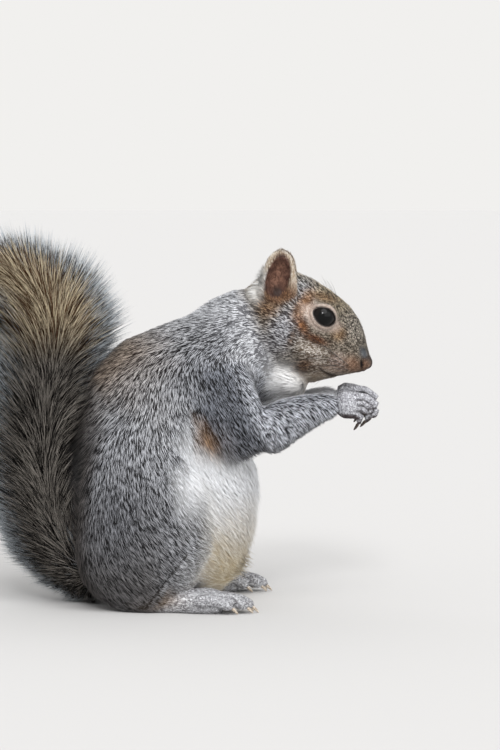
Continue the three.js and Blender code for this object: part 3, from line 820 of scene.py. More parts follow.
def tuftTree():
    # three-sided spikes scattered over a growth mesh and laid along its lie
    tree = bpy.data.node_groups.new("tufts", "GeometryNodeTree")
    tree.is_modifier = True
    sockets = {"Skin": "Geometry", "Seed": "Int", "Hair": "Material"}
    sockets.update(dict.fromkeys(("Density", "Flatness", "Clumping", "Lock Size", "Sway", "Sway Size",
                                  "Short", "Stray", "Patch", "Floor"), "Float"))
    for name, kind in sockets.items():
        tree.interface.new_socket(name, in_out="INPUT", socket_type="NodeSocket" + kind)
    tree.interface.new_socket("Coat", in_out="OUTPUT", socket_type="NodeSocketGeometry")
    add = partial(addNode, tree)
    given = tree.nodes.new("NodeGroupInput").outputs
    number, vector, random = "ShaderNodeMath", "ShaderNodeVectorMath", "FunctionNodeRandomValue"
    field, store = "GeometryNodeInputNamedAttribute", "GeometryNodeStoreNamedAttribute"
    times, plus, scaled = {"operation": "MULTIPLY"}, {"operation": "ADD"}, {"operation": "SCALE"}
    less, over, unitLength = {"operation": "SUBTRACT"}, {"operation": "DIVIDE"}, {"operation": "NORMALIZE"}
    scalar, triple = {"data_type": "FLOAT"}, {"data_type": "FLOAT_VECTOR"}
    seeds = [add(number, plus, {0: given["Seed"], 1: float(i)}) for i in range(4)]

    # one tuft: a closed spike of unit length along Z with its ridge on +Y, thinner than it is broad
    spike = add("GeometryNodeMeshCone", {"fill_type": "NGON"},
                {"Vertices": 3, "Radius Top": 0.0, "Radius Bottom": 1.0, "Depth": 1.0}, "Mesh")
    cut = add("ShaderNodeSeparateXYZ", None, {0: add("GeometryNodeInputPosition")}).node.outputs
    across = add(number, times, {0: cut["Y"], 1: 0.5})
    height = add(number, times, {0: cut["Z"], 1: 0.85})
    height = add(number, {"operation": "MULTIPLY_ADD"}, {0: cut["X"], 1: 0.1, 2: height})
    spike = add(store, scalar, {"Geometry": spike, "Name": "across", "Value": across})
    spike = add(store, scalar, {"Geometry": spike, "Name": "height", "Value": height})
    spike = add(store, scalar, {"Geometry": spike, "Name": "along", "Value": cut["Z"]})
    ridge = add(number, times, {0: cut["X"], 1: given["Flatness"]})
    shaped = add("ShaderNodeCombineXYZ", None, {"X": cut["Y"], "Y": ridge, "Z": cut["Z"]})
    spike = add("GeometryNodeSetPosition", None, {"Geometry": spike, "Position": shaped})
    spike = add("GeometryNodeFlipFaces", None, {"Mesh": spike})

    # roots scattered over the skin, each with a chance of its own
    weight = add(field, scalar, {"Name": "weight"})
    roots = add("GeometryNodeDistributePointsOnFaces", {"distribute_method": "RANDOM"},
                {"Mesh": given["Skin"], "Density": add(number, times, {0: weight, 1: given["Density"]}),
                 "Seed": given["Seed"]}, "Points")
    chance = add(random, scalar, {2: 0.0, 3: 1.0, "Seed": seeds[1]}, 1)
    roots = add(store, scalar, {"Geometry": roots, "Name": "chance", "Value": chance})
    root = add("GeometryNodeInputPosition")

    # which way each lies: the skin's lie, a slow swirl and some scatter, lifted off the skin
    swirl = add("ShaderNodeTexNoise", {"noise_dimensions": "3D"},
                {"Vector": root, "Scale": add(number, over, {0: 1.0, 1: given["Sway Size"]}), "Detail": 1.0},
                "Color")
    swirl = add(vector, less, {0: swirl, 1: (0.5, 0.5, 0.5)})
    swirl = add(vector, scaled, {0: swirl, 3: add(number, times, {0: given["Sway"], 1: 2.0})})
    stray = add(random, triple, {0: (-1, -1, -1), 1: (1, 1, 1), "Seed": seeds[2]})
    stray = add(vector, scaled, {0: stray, 3: given["Stray"]})
    flow = add(vector, plus, {0: add(field, triple, {"Name": "lie"}),
                              1: add(vector, plus, {0: swirl, 1: stray})})
    outward = add(field, triple, {"Name": "outward"})
    rising = add(vector, {"operation": "DOT_PRODUCT"}, {0: flow, 1: outward}, "Value")
    rising = add(vector, scaled, {0: outward, 3: add(number, times, {0: rising, 1: 0.7})})
    flow = add(vector, unitLength, {0: add(vector, less, {0: flow, 1: rising})})
    lift = add(field, scalar, {"Name": "lift"})
    flow = add(vector, scaled, {0: flow, 3: add(number, {"operation": "COSINE"}, {0: lift})})
    rising = add(vector, scaled, {0: outward, 3: add(number, {"operation": "SINE"}, {0: lift})})
    stretch = add(random, scalar, {2: given["Short"], 3: 1.06, "Seed": seeds[3]}, 1)
    length = add(number, times, {0: add(field, scalar, {"Name": "length"}), 1: stretch})
    reach = add(vector, scaled, {0: add(vector, plus, {0: flow, 1: rising}), 3: length})

    # tips gather into locks
    tip = add(vector, plus, {0: root, 1: reach})
    lock = add("ShaderNodeTexVoronoi", {"voronoi_dimensions": "3D", "feature": "F1"},
               {"Vector": tip, "Scale": add(number, over, {0: 1.0, 1: given["Lock Size"]})}, "Position")
    kin = add("ShaderNodeSeparateXYZ", None, {0: lock.node.outputs["Color"]}, "X")
    roots = add(store, scalar, {"Geometry": roots, "Name": "kin", "Value": kin})
    gathered = add(vector, scaled, {0: add(vector, less, {0: lock, 1: tip}), 3: given["Clumping"]})
    reach = add(vector, plus, {0: reach, 1: gathered})
    length = add(vector, {"operation": "LENGTH"}, {0: reach}, "Value")
    turned = add("FunctionNodeAxesToRotation", {"primary_axis": "Z", "secondary_axis": "Y"},
                 {0: reach, 1: outward})
    size = add("ShaderNodeCombineXYZ", None,
               {"X": add(field, scalar, {"Name": "girth"}), "Y": length, "Z": length})
    coat = add("GeometryNodeInstanceOnPoints", None,
               {"Points": roots, "Instance": spike, "Rotation": turned, "Scale": size})
    coat = add("GeometryNodeRealizeInstances", None, {"Geometry": coat})

    # tips stay off the floor; each tuft becomes a patch of the bake map at its root's place
    cut = add("ShaderNodeSeparateXYZ", None, {0: add("GeometryNodeInputPosition")}).node.outputs
    above = add(number, {"operation": "MAXIMUM"}, {0: cut["Z"], 1: given["Floor"]})
    raised = add("ShaderNodeCombineXYZ", None, {"X": cut["X"], "Y": cut["Y"], "Z": above})
    coat = add("GeometryNodeSetPosition", None, {"Geometry": coat, "Position": raised})
    patch = add("ShaderNodeCombineXYZ", None,
                {"X": add(field, scalar, {"Name": "across"}),
                 "Y": add(number, less, {0: add(field, scalar, {"Name": "height"}), 1: 0.4})})
    patch = add(vector, scaled, {0: patch, 3: given["Patch"]})
    bake = add(vector, plus, {0: add(field, triple, {"Name": "rootMap"}), 1: patch})
    coat = add(store, {"data_type": "FLOAT2", "domain": "CORNER"},
               {"Geometry": coat, "Name": "OFBake", "Value": bake})
    coat = add("GeometryNodeSetShadeSmooth", None, {"Geometry": coat, "Shade Smooth": True})
    coat = add("GeometryNodeSetMaterial", None, {"Geometry": coat, "Material": given["Hair"]})
    tree.links.new(coat, tree.nodes.new("NodeGroupOutput").inputs[0])
    return tree


def growthMesh(name, source, keepFace, fields):
    # the part of the skin that a coat piece grows from, with its fields and an unwrap of its own
    part = bmesh.new()
    part.from_mesh(source)
    indices = part.verts.layers.int.new("was")
    for vert in part.verts:
        vert[indices] = vert.index
    bmesh.ops.delete(part, geom=[f for f, keep in zip(part.faces, keepFace) if not keep], context="FACES")
    mesh = meshFrom(part, name)
    was = readAll(mesh.attributes["was"].data, "value", 1, np.int32)
    dropAttributes(mesh, "was")
    for field, (values, kind) in fields.items():
        writeAttribute(mesh, field, values[was], kind)
    growth = newObject(name, mesh)
    smartUnwrap(growth, "rootMap")
    return growth


def coatFrom(growth, tree, settings, material):
    # tufts over a growth mesh: the count asked for, spread by the weight field
    mesh = growth.data
    mesh.calc_loop_triangles()
    weight = readAll(mesh.attributes["weight"].data, "value")
    triangles = readAll(mesh.loop_triangles, "vertices", 3, np.int32)
    areas = readAll(mesh.loop_triangles, "area")
    total = float((areas * weight[triangles].mean(1)).sum())
    values = {"Density": settings["tufts"] / total, "Seed": settings["seed"], "Flatness": settings["flat"],
              "Short": settings["short"], "Stray": settings["stray"], "Clumping": settings["clump"],
              "Lock Size": settings["lock"] * mm, "Sway": grow["sway"], "Sway Size": grow["swaySize"] * mm,
              "Patch": grow["patch"], "Floor": grow["floorGap"] * mm, "Hair": material}
    coat = grown(growth, tree, values)
    # soft fur takes the light of the surface under it more than of each hair's own facets
    outward = readAll(coat.data.attributes["outward"].data, "vector", 3)
    shading = unit(outward * grow["softShading"] + normals(coat.data))
    coat.data.normals_split_custom_set_from_vertices(shading.tolist())
    dropAttributes(coat.data, "lie", "outward", "lift", "length", "girth", "weight", "rootMap", "height")
    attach(coat, "root")
    print(coat.name, len(coat.data.polygons), "faces")
    return coat


# how long the coat grows in millimetres, where the face's short hair begins and ends, how the lie turns
# (ahead, left, up) and lifts in degrees beyond its zone's own, how broad a hair is on the head for its
# length, and how bare the ears' hollows, the gaps between digits and the nostrils are
coatGrowth = {
    "muzzle": 1.1, "crown": 3.0, "backAt": -14, "frontAt": 22, "throat": 6, "earFluff": 6, "eyeHair": 1.0,
    "digit": 1.1, "belly": 4.0, "hem": 1.5, "backLie": (-0.8, 0, 0.35), "frontLie": (0.4, 0, 0),
    "fluffLie": (-1.8, 0, -0.3), "fluffLift": 14, "bellyLift": 12, "headGirth": (0.16, 0.055),
    "digitGirth": 0.15, "earBare": 0.85, "gapBare": 0.9, "nostrilBare": 1.5,
}


def lighten(skin, zone):
    # the sculpted skin brought down to its face budget, most of it off the smooth trunk
    mesh = skin.data
    before = points(mesh)
    group = skin.vertex_groups.new(name="thin")
    keep = {"head": 0.12, "nose": 0.02, "ear": 0.05, "hand": 0.05, "foot": 0.08, "tail": 0.5, "forearm": 0.6}
    for index, name in enumerate(zoneNames):
        group.add(np.nonzero(zone == index)[0].tolist(), keep.get(name, 1.0), "REPLACE")
    thin = skin.modifiers.new("thin", "DECIMATE")
    triangles = sum(len(p.vertices) - 2 for p in mesh.polygons)
    thin.ratio = skinBuild["faces"] / triangles
    thin.vertex_group = "thin"
    skin = evaluated(skin, "skin")
    skin.vertex_groups.clear()
    tree = KDTree(len(before))
    for i, place in enumerate(before):
        tree.insert(place, i)
    tree.balance()
    nearest = np.array([tree.find(p)[1] for p in points(skin.data)])
    return skin, nearest


skin, nearest = lighten(skin, zone)
zone, pale, dark = zone[nearest], pale[nearest], dark[nearest]
belly, hollow, band, gaps, onDigit, rear = (
    shares[name][nearest] for name in ("belly", "hollow", "band", "gaps", "onDigit", "rear"))
edges = edgesOf(skin.data)
print("skin thinned to", len(skin.data.polygons), "faces")


# the tail's hair: its lift in degrees at five places from root to tip, its least, usual and greatest length,
# how much shorter it is at the tip and the sides, how far past the CAD tail's outline it reaches, and how
# much longer it is where it closes the crook and touches the back
tailHair = {
    "lift": (34, 50, 54, 48, 25), "liftAt": (0, 0.2, 0.5, 0.8, 1.0), "girth": 0.3, "least": 4, "usual": 30,
    "most": 41, "tipLess": 12, "sideLess": 11, "tipRoom": 1.15, "sideRoom": 0.18, "crook": (-64, 112),
    "closing": 0.4, "touching": 0.25, "outlineVoxel": 1.5,
}


def tailFields(places, outward, isTail):
    # how far along the core each root sits, which way the tip is, the hair's lift, and its length
    spine = tailSpine()
    ahead = unit(np.gradient(spine, axis=0))
    index = np.argmin(((places[isTail][:, None, ::2] - spine[None, :, ::2]) ** 2).sum(-1), axis=1)
    whole, _ = joined(tailNodes(), skinBuild["seamGrowth"])
    outline = remeshed(newObject("outline", meshFrom(whole, "outline")), "outline", tailHair["outlineVoxel"])
    shape = bmesh.new()
    shape.from_mesh(outline.data)
    tree = BVHTree.FromBMesh(shape)
    shape.free()
    bpy.data.objects.remove(outline)
    t = index / (len(spine) - 1)
    lift = np.radians(np.interp(t, tailHair["liftAt"], tailHair["lift"]))
    flow = ahead[index]
    aim = flow * np.cos(lift)[:, None] + outward[isTail] * np.sin(lift)[:, None]
    lengths = np.zeros(len(t))
    for i, (start, way) in enumerate(zip(places[isTail], aim)):
        hit = tree.ray_cast(Vector(start * mm), Vector(way))
        lengths[i] = hit[3] / mm if hit[0] is not None else 0
    # hair on the inside of the crook is long enough to close it
    towards = np.array(tailHair["crook"]) - places[isTail][:, ::2]
    inside = smoothStep((unit(towards) * outward[isTail][:, ::2]).sum(1), 0.2, 0.8)
    inside *= 1 - smoothStep(np.linalg.norm(towards, axis=1), 38, 46)
    against = smoothStep(outward[isTail][:, 0], 0.0, 0.5) * (1 - smoothStep(places[isTail][:, 2], 82, 96))
    sideways = np.abs(aim[:, 1])
    most = tailHair["most"] - tailHair["tipLess"] * smoothStep(t, 0.9, 1.0) - tailHair["sideLess"] * sideways
    lengths = np.minimum(lengths, most) * (1 + inside * tailHair["closing"] + against * tailHair["touching"])
    return t, flow, lift, lengths * (tailHair["tipRoom"] - tailHair["sideRoom"] * sideways)


def coatFields(mesh):
    places, outward = points(mesh), normals(mesh)
    outward = unit(blurred(outward, edges, 3))
    ahead, up, _ = onHead(places)
    z = places[:, 2]
    per = {key: np.array([zones[n][key] for n in zoneNames], float)[zone]
           for key in ("length", "girth", "lift")}
    flow = np.array([zones[n]["toward"] for n in zoneNames], float)[zone]
    isTail = inZones(zone, "tail")
    isHead = inZones(zone, "head", "nose")
    flow = blurred(unit(flow), edges, 25)
    # the back's hair lies back, then turns steeply down the flanks and the belly
    upperBack = smoothStep(z, 85, 120) * inZones(zone, "trunk")
    front = smoothStep(outward[:, 0], 0.2, 0.7) * inZones(zone, "trunk")
    flow += np.outer(upperBack, coatGrowth["backLie"]) + np.outer(front, coatGrowth["frontLie"])
    flow = blurred(flow, edges, 40)
    length, girth, lift = per["length"], per["girth"], np.radians(per["lift"])
    shorter = smoothStep(ahead, coatGrowth["backAt"], coatGrowth["frontAt"])
    length = np.where(isHead, coatGrowth["muzzle"] + (coatGrowth["crown"] - coatGrowth["muzzle"])
                      * (1 - shorter), length)

    def turnTo(name, share):
        # the length brought to a named one, by share
        return length + (coatGrowth[name] - length) * share

    length = turnTo("throat", smoothStep(-up, 26, 31) * isHead)
    length = turnTo("earFluff", rear * (1 - smoothStep(z, 150, 160) * 0.6))
    flow = unit(flow) + np.outer(rear, coatGrowth["fluffLie"])
    lift = lift + rear * math.radians(coatGrowth["fluffLift"]) + belly * math.radians(coatGrowth["bellyLift"])
    length = turnTo("digit", onDigit)
    for side in ("left", "right"):
        distance = np.linalg.norm(places - eyeMiddles[side], axis=1)
        length = turnTo("eyeHair", (1 - smoothStep(distance, 7, 12)) * isHead)
    hem = (1 - smoothStep(z, 4, 16)) * inZones(zone, "thigh")
    length = length + coatGrowth["belly"] * belly + coatGrowth["hem"] * hem
    length, girth, lift = (blurred(v, edges, 12) for v in (length, girth, lift))
    least, perLength = coatGrowth["headGirth"]
    girth = np.where(isHead, least + perLength * length, girth)
    girth = girth + (coatGrowth["digitGirth"] - girth) * onDigit
    weight = 1 / (length * girth)
    # nothing grows inside the lids, in the nostrils or on the nose's pad, little in the ears' hollows
    for side in ("left", "right"):
        distance, angle, opening, _ = eyeView(places, side)
        close = (distance < 10) & isHead
        past = (angle - opening) * headFrame["eyeRadius"]
        weight = np.where(close, weight * smoothStep(past, 0.25, 0.7), weight)
    nose = blob(ahead, up, face["nostril"]) * coatGrowth["nostrilBare"] + blob(ahead, up, headMarks["slate"])
    bare = np.clip(nose + smoothStep(ahead, 28.2, 29.2), 0, 1) * isHead
    weight = weight * (1 - bare) * (1 - coatGrowth["earBare"] * hollow) * (1 - coatGrowth["gapBare"] * gaps)
    run = np.zeros(len(zone))
    run[isTail], flow[isTail], lift[isTail], reach = tailFields(places, outward, isTail)
    length[isTail] = np.maximum(reach, 0)
    girth[isTail] = tailHair["girth"]
    weight[isTail] = np.where(reach > tailHair["least"], reach / tailHair["usual"], 0)
    flow = unit(flow - (flow * outward).sum(1)[:, None] * outward * 0.9)
    weight = np.where(weight > 0, weight, 0)
    return {
        "lie": (flow, "FLOAT_VECTOR"), "outward": (outward, "FLOAT_VECTOR"), "lift": (lift, "FLOAT"),
        "length": (length * mm, "FLOAT"), "girth": (girth * mm, "FLOAT"), "weight": (weight, "FLOAT"),
        "paleTone": (np.c_[pale, np.ones(len(pale))], "FLOAT_COLOR"),
        "darkTone": (np.c_[dark, np.ones(len(dark))], "FLOAT_COLOR"), "band": (band, "FLOAT"),
    }, run


fields, tailRun = coatFields(skin.data)
print("coat fields set")


# materials
def principled(name, constants):
    # a new material: its tree, and its shader with these constants on its sockets
    material = bpy.data.materials.new(name)
    material.use_nodes = True
    shader = material.node_tree.nodes["Principled BSDF"]
    for socket, value in constants.items():
        shader.inputs[socket].default_value = value
    return material, material.node_tree, shader.inputs


def agoutiHair(name, kinShare):
    # guard hair of keratin, banded: dark at the root and silver towards the tip, some hairs dark all along,
    # and the hairs of one lock alike by kinShare
    material, tree, shader = principled(name, {"Specular IOR Level": 0.2, "Sheen Weight": 0.06})
    add = partial(addNode, tree)
    number, clamped = "ShaderNodeMath", {"operation": "MULTIPLY", "use_clamp": True}
    along, chance, across, kin = (add("ShaderNodeAttribute", {"attribute_name": name}, None, "Fac")
                                  for name in ("along", "chance", "across", "kin"))
    dark, pale = (add("ShaderNodeAttribute", {"attribute_name": name}, None, "Color")
                  for name in ("darkTone", "paleTone"))
    tip = add("ShaderNodeValToRGB", {"stops": [(0.25, 0.0), (0.5, 1.0)]}, {0: along})
    shared = add(number, {"operation": "MULTIPLY"}, {0: kin, 1: kinShare})
    paleness = add(number, {"operation": "MULTIPLY_ADD"}, {0: chance, 1: 1 - kinShare, 2: shared})
    howPale = add("ShaderNodeValToRGB", {"stops": [(0.28, 0.0), (0.46, 0.08), (0.58, 0.8), (0.75, 1.0)]},
                  {0: paleness})
    strands = add(number, {"operation": "MULTIPLY_ADD"}, {0: across, 1: 14.0, 2: chance})
    strands = add("ShaderNodeValToRGB", {"stops": [(0.0, 0.8), (1.0, 1.0)]},
                  {0: add(number, {"operation": "SINE"}, {0: strands})})
    amount = add(number, clamped, {0: add(number, clamped, {0: tip, 1: howPale}), 1: strands})
    tone = add("ShaderNodeMix", {"data_type": "RGBA"}, {0: amount, 6: dark, 7: pale}, 2)
    tree.links.new(tone, shader["Base Color"])
    rough = add("ShaderNodeValToRGB", {"stops": [(0.0, 0.5), (1.0, 0.68)]}, {0: chance})
    tree.links.new(rough, shader["Roughness"])
    return material


tailTones = {"low": "#0d0a09", "high": "#5c4430", "lowStrand": "#827c75", "highStrand": "#cfc0a2",
             "band": "#0d0b0b", "silver": "#b4bbc1", "turnsAt": (0.108, 0.136)}


def tailHairMaterial():
    # long tail hair of keratin: dark low down and tawny in the crook, then a black band and a silver tip
    # where it makes the fringe; about a third of the hairs are cream over their outer half
    material, tree, shader = principled("tailGuardHair", {"Roughness": 0.55, "Specular IOR Level": 0.06})
    add = partial(addNode, tree)
    number, ramp, mix = "ShaderNodeMath", "ShaderNodeValToRGB", "ShaderNodeMix"
    times, colours = {"operation": "MULTIPLY", "use_clamp": True}, {"data_type": "RGBA"}
    along, chance, band = (add("ShaderNodeAttribute", {"attribute_name": name}, None, "Fac")
                           for name in ("along", "chance", "band"))
    height = add("ShaderNodeSeparateXYZ", None, {0: add("ShaderNodeTexCoord", None, None, "Object")}, "Z")
    height = add("ShaderNodeMapRange", {"interpolation_type": "SMOOTHSTEP"},
                 {"Value": height, "From Min": tailTones["turnsAt"][0], "From Max": tailTones["turnsAt"][1]})
    several = add(number, {"operation": "MULTIPLY"}, {0: chance, 1: 900.0})
    vary = add("ShaderNodeTexNoise", {"noise_dimensions": "1D"}, {"W": several}, "Fac")
    shifted = add(number, {"operation": "MULTIPLY_ADD"}, {0: vary, 1: 0.3, 2: along})
    base = add(mix, colours, {0: height, 6: linear(tailTones["low"]), 7: linear(tailTones["high"])}, 2)
    shade = add(ramp, {"stops": [(0.35, "#6a6158"), (0.62, "#ffffff")]}, {0: vary})
    tone = add(mix, {"data_type": "RGBA", "blend_type": "MULTIPLY"}, {0: 1.0, 6: base, 7: shade}, 2)
    strand = add(mix, colours, {0: height, 6: linear(tailTones["lowStrand"]),
                                7: linear(tailTones["highStrand"])}, 2)
    isStrand = add(ramp, {"stops": [(0.62, 0.0), (0.68, 1.0)]}, {0: chance})
    outerHalf = add(ramp, {"stops": [(0.5, 0.0), (0.72, 1.0)]}, {0: shifted})
    tone = add(mix, colours, {0: add(number, times, {0: isStrand, 1: outerHalf}), 6: tone, 7: strand}, 2)
    # band is low where the tail lies against the back, which keeps the hair dark there as painted shade
    inBand = add(ramp, {"stops": [(0.52, 0.0), (0.6, 1.0), (0.9, 1.0), (0.95, 0.0)]}, {0: shifted})
    tone = add(mix, colours, {0: add(number, times, {0: inBand, 1: band}), 6: tone,
                              7: linear(tailTones["band"])}, 2)
    atTip = add(ramp, {"stops": [(0.9, 0.0), (0.95, 1.0)]}, {0: shifted})
    tone = add(mix, colours, {0: add(number, times, {0: atTip, 1: band}), 6: tone,
                              7: linear(tailTones["silver"])}, 2)
    tree.links.new(tone, shader["Base Color"])
    return material


def skinMaterial(name, grain, blotch, bumpDepth, constants):
    # skin in the marks' two tones, mottled by soft noise and roughened by a fine grain, sized in millimetres
    material, tree, shader = principled(name, constants)
    add = partial(addNode, tree)
    place = add("ShaderNodeTexCoord", None, None, "Object")
    fine = add("ShaderNodeTexNoise", None, {"Vector": place, "Scale": 1 / (grain * mm), "Detail": 2.0}, "Fac")
    broad = add("ShaderNodeTexNoise", None, {"Vector": place, "Scale": 1 / (blotch * mm), "Detail": 3.0},
                "Fac")
    dark, pale = (add("ShaderNodeAttribute", {"attribute_name": tone}, None, "Color")
                  for tone in ("darkTone", "paleTone"))
    amount = add("ShaderNodeValToRGB", {"stops": [(0.36, 0.08), (0.66, 0.85)]}, {0: broad})
    tone = add("ShaderNodeMix", {"data_type": "RGBA"}, {0: amount, 6: dark, 7: pale}, 2)
    tree.links.new(tone, shader["Base Color"])
    bump = add("ShaderNodeBump", None, {"Height": fine, "Distance": bumpDepth * mm, "Strength": 0.6})
    tree.links.new(bump, shader["Normal"])
    return material


furMaterial, faceMaterial = agoutiHair("agoutiHair", 0.22), agoutiHair("faceHair", 0.42)
tailMaterial = tailHairMaterial()
# dull skin under dense short underfur, then the bare leathery skin of nose, lids and ears, faintly moist
underfur = skinMaterial("underfur", 0.5, 0.9, 0.25, {"Roughness": 0.75, "Specular IOR Level": 0.2})
bareSkin = skinMaterial("bareSkin", 0.4, 2.4, 0.12, {"Roughness": 0.5, "Specular IOR Level": 0.25})
skin.data.materials.clear()
for material in (underfur, bareSkin):
    skin.data.materials.append(material)


def finishSkin():
    mesh = skin.data
    ahead, up, _ = onHead(points(mesh))
    isHead = inZones(zone, "head", "nose")
    bare = hollow > 0.4
    bare |= isHead & ((blob(ahead, up, headMarks["slate"]) > 0.45) | (ahead > 28.4)
                      | (blob(ahead, up, face["nostril"]) > 0.3))
    for side in ("left", "right"):
        distance, angle, opening, _ = eyeView(points(mesh), side)
        bare |= isHead & (distance < 10) & ((angle - opening) * headFrame["eyeRadius"] < 0.7)
    for name in ("paleTone", "darkTone"):
        writeAttribute(mesh, name, *fields[name])
    corner = readAll(mesh.loops, "vertex_index", 1, np.int32)
    firstLoop = readAll(mesh.polygons, "loop_start", 1, np.int32)
    mesh.polygons.foreach_set("material_index", bare[corner[firstLoop]].astype(np.int32))
    shadeSmooth(mesh)
    mesh.update()
    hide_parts(*(fleshNodes() + tailNodes()))
    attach(skin, "root")
    return corner[firstLoop]


firstVertex = finishSkin()
tree = tuftTree()
faceSide = np.sign(points(skin.data)[firstVertex][:, 1])
for name, own in coatPieces.items():
    settings = dict(coatUsual, **own)
    keep = inZones(zone[firstVertex], *settings["zones"])
    if "side" in settings:
        keep &= faceSide * settings["side"] >= 0
    if "belly" in settings:
        keep &= (belly[firstVertex] > 0.5) == settings["belly"]
    material = faceMaterial if name == "coat_head" else furMaterial
    coatFrom(growthMesh(name, skin.data, keep, fields), tree, settings, material)
for part in range(tailPieces["count"]):
    keep = inZones(zone[firstVertex], "tail") & (tailRun[firstVertex] >= part / tailPieces["count"])
    if part < tailPieces["count"] - 1:
        keep &= tailRun[firstVertex] < (part + 1) / tailPieces["count"]
    settings = dict(tailPieces, seed=tailPieces["seed"] + part)
    coatFrom(growthMesh("coat_tail_%d" % (part + 1), skin.data, keep, fields), tree, settings, tailMaterial)


# eyes
eyeBuild = {"rings": 40, "around": 64, "fibre": 0.7, "pupil": "#040405", "iris": ("#070505", "#140d0a"),
            "white": "#0b0807", "irisFrom": (0.36, 0.44), "whiteFrom": (0.8, 0.9)}


def eyeMaterial():
    # a wet cornea over a near-black iris: almost mirror smooth
    material, tree, shader = principled("wetEye", {"Roughness": 0.08, "IOR": 1.38, "Specular IOR Level": 0.3})
    add = partial(addNode, tree)
    ramp, mix, colours = "ShaderNodeValToRGB", "ShaderNodeMix", {"data_type": "RGBA"}
    off = add("ShaderNodeAttribute", {"attribute_name": "offAxis"}, None, "Fac")
    place = add("ShaderNodeTexCoord", None, None, "Object")
    fibres = add("ShaderNodeTexNoise", None,
                 {"Vector": place, "Scale": 1 / (eyeBuild["fibre"] * mm), "Detail": 3.0}, "Fac")
    iris = add(mix, colours, {0: fibres, 6: linear(eyeBuild["iris"][0]), 7: linear(eyeBuild["iris"][1])}, 2)
    inIris, inWhite = (add(ramp, {"stops": [(start, 0.0), (end, 1.0)]}, {0: off})
                       for start, end in (eyeBuild["irisFrom"], eyeBuild["whiteFrom"]))
    tone = add(mix, colours, {0: inIris, 6: linear(eyeBuild["pupil"]), 7: iris}, 2)
    tone = add(mix, colours, {0: inWhite, 6: tone, 7: linear(eyeBuild["white"])}, 2)
    tree.links.new(tone, shader["Base Color"])
    return material


def makeEyes():
    material = eyeMaterial()
    for side, sign in (("left", 1), ("right", -1)):
        ball = bmesh.new()
        bmesh.ops.create_uvsphere(ball, u_segments=eyeBuild["around"], v_segments=eyeBuild["rings"],
                                  radius=headFrame["eyeRadius"] * mm)
        mesh = meshFrom(ball, "eyeball_" + side)
        axis = eyeAxis(sign)
        turn = Vector(axis).to_track_quat("Z", "Y").to_matrix().to_4x4()
        mesh.transform(turn)
        directions = unit(points(mesh))
        writeAttribute(mesh, "offAxis", np.arccos(np.clip(directions @ axis, -1, 1)) / (math.pi / 2))
        setPoints(mesh, points(mesh) + eyeMiddles[side])
        shadeSmooth(mesh)
        mesh.materials.append(material)
        eye = newObject("eyeball_" + side, mesh)
        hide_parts("eye_" + side)
        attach(eye, "root")
    print("eyes set")


makeEyes()


# claws
clawTones = {"hand": ("#1b1614", "#4a3c33"), "foot": ("#8a7a6a", "#cfc4b4")}


def clawMaterial(name, tones):
    # horn: glossy keratin, streaked lengthways
    material, tree, shader = principled(name, {"Roughness": 0.28})
    add = partial(addNode, tree)
    place = add("ShaderNodeTexCoord", None, None, "Object")
    streak = add("ShaderNodeTexNoise", None, {"Vector": place, "Scale": 1 / (0.5 * mm), "Detail": 2.0}, "Fac")
    amount = add("ShaderNodeValToRGB", {"stops": [(0.35, 0.0), (0.65, 1.0)]}, {0: streak})
    tone = add("ShaderNodeMix", {"data_type": "RGBA"}, {0: amount, 6: linear(tones[0]), 7: linear(tones[1])},
               2)
    tree.links.new(tone, shader["Base Color"])
    bump = add("ShaderNodeBump", None, {"Height": streak, "Distance": 0.08 * mm, "Strength": 0.4})
    tree.links.new(bump, shader["Normal"])
    return material


def makeClaws():
    for limb, tones in clawTones.items():
        nodes = [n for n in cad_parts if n.startswith("claw_" + limb)]
        whole, _ = joined(nodes, 0)
        claws = newObject("claws_" + limb, meshFrom(whole, "claws_" + limb))
        smooth = claws.modifiers.new("round", "SUBSURF")
        smooth.levels = smooth.render_levels = 1
        claws = evaluated(claws, "claws_" + limb)
        claws.data.materials.append(clawMaterial("horn_" + limb, tones))
        shadeSmooth(claws.data)
        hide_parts(*nodes)
        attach(claws, "root")
    print("claws set")


makeClaws()

# whiskers in rows on the pads, a few over the eyes: how far each swings back from straight out in degrees
# and its length in millimetres, at the first and last column, how steeply it rises in each row, and how much
# these vary
whiskers = {
    "swing": (58, 28), "length": (34, 17), "rise": (0.15, -0.15, -0.45), "droop": 0.16, "radius": 0.12,
    "brow": [(-1.0, 8.4), (1.2, 8.8), (3.4, 8.2)], "browSwing": 50, "browRise": 0.8, "browLength": 13,
    "scatter": 6, "vary": (0.85, 1.1), "seed": 41,
}


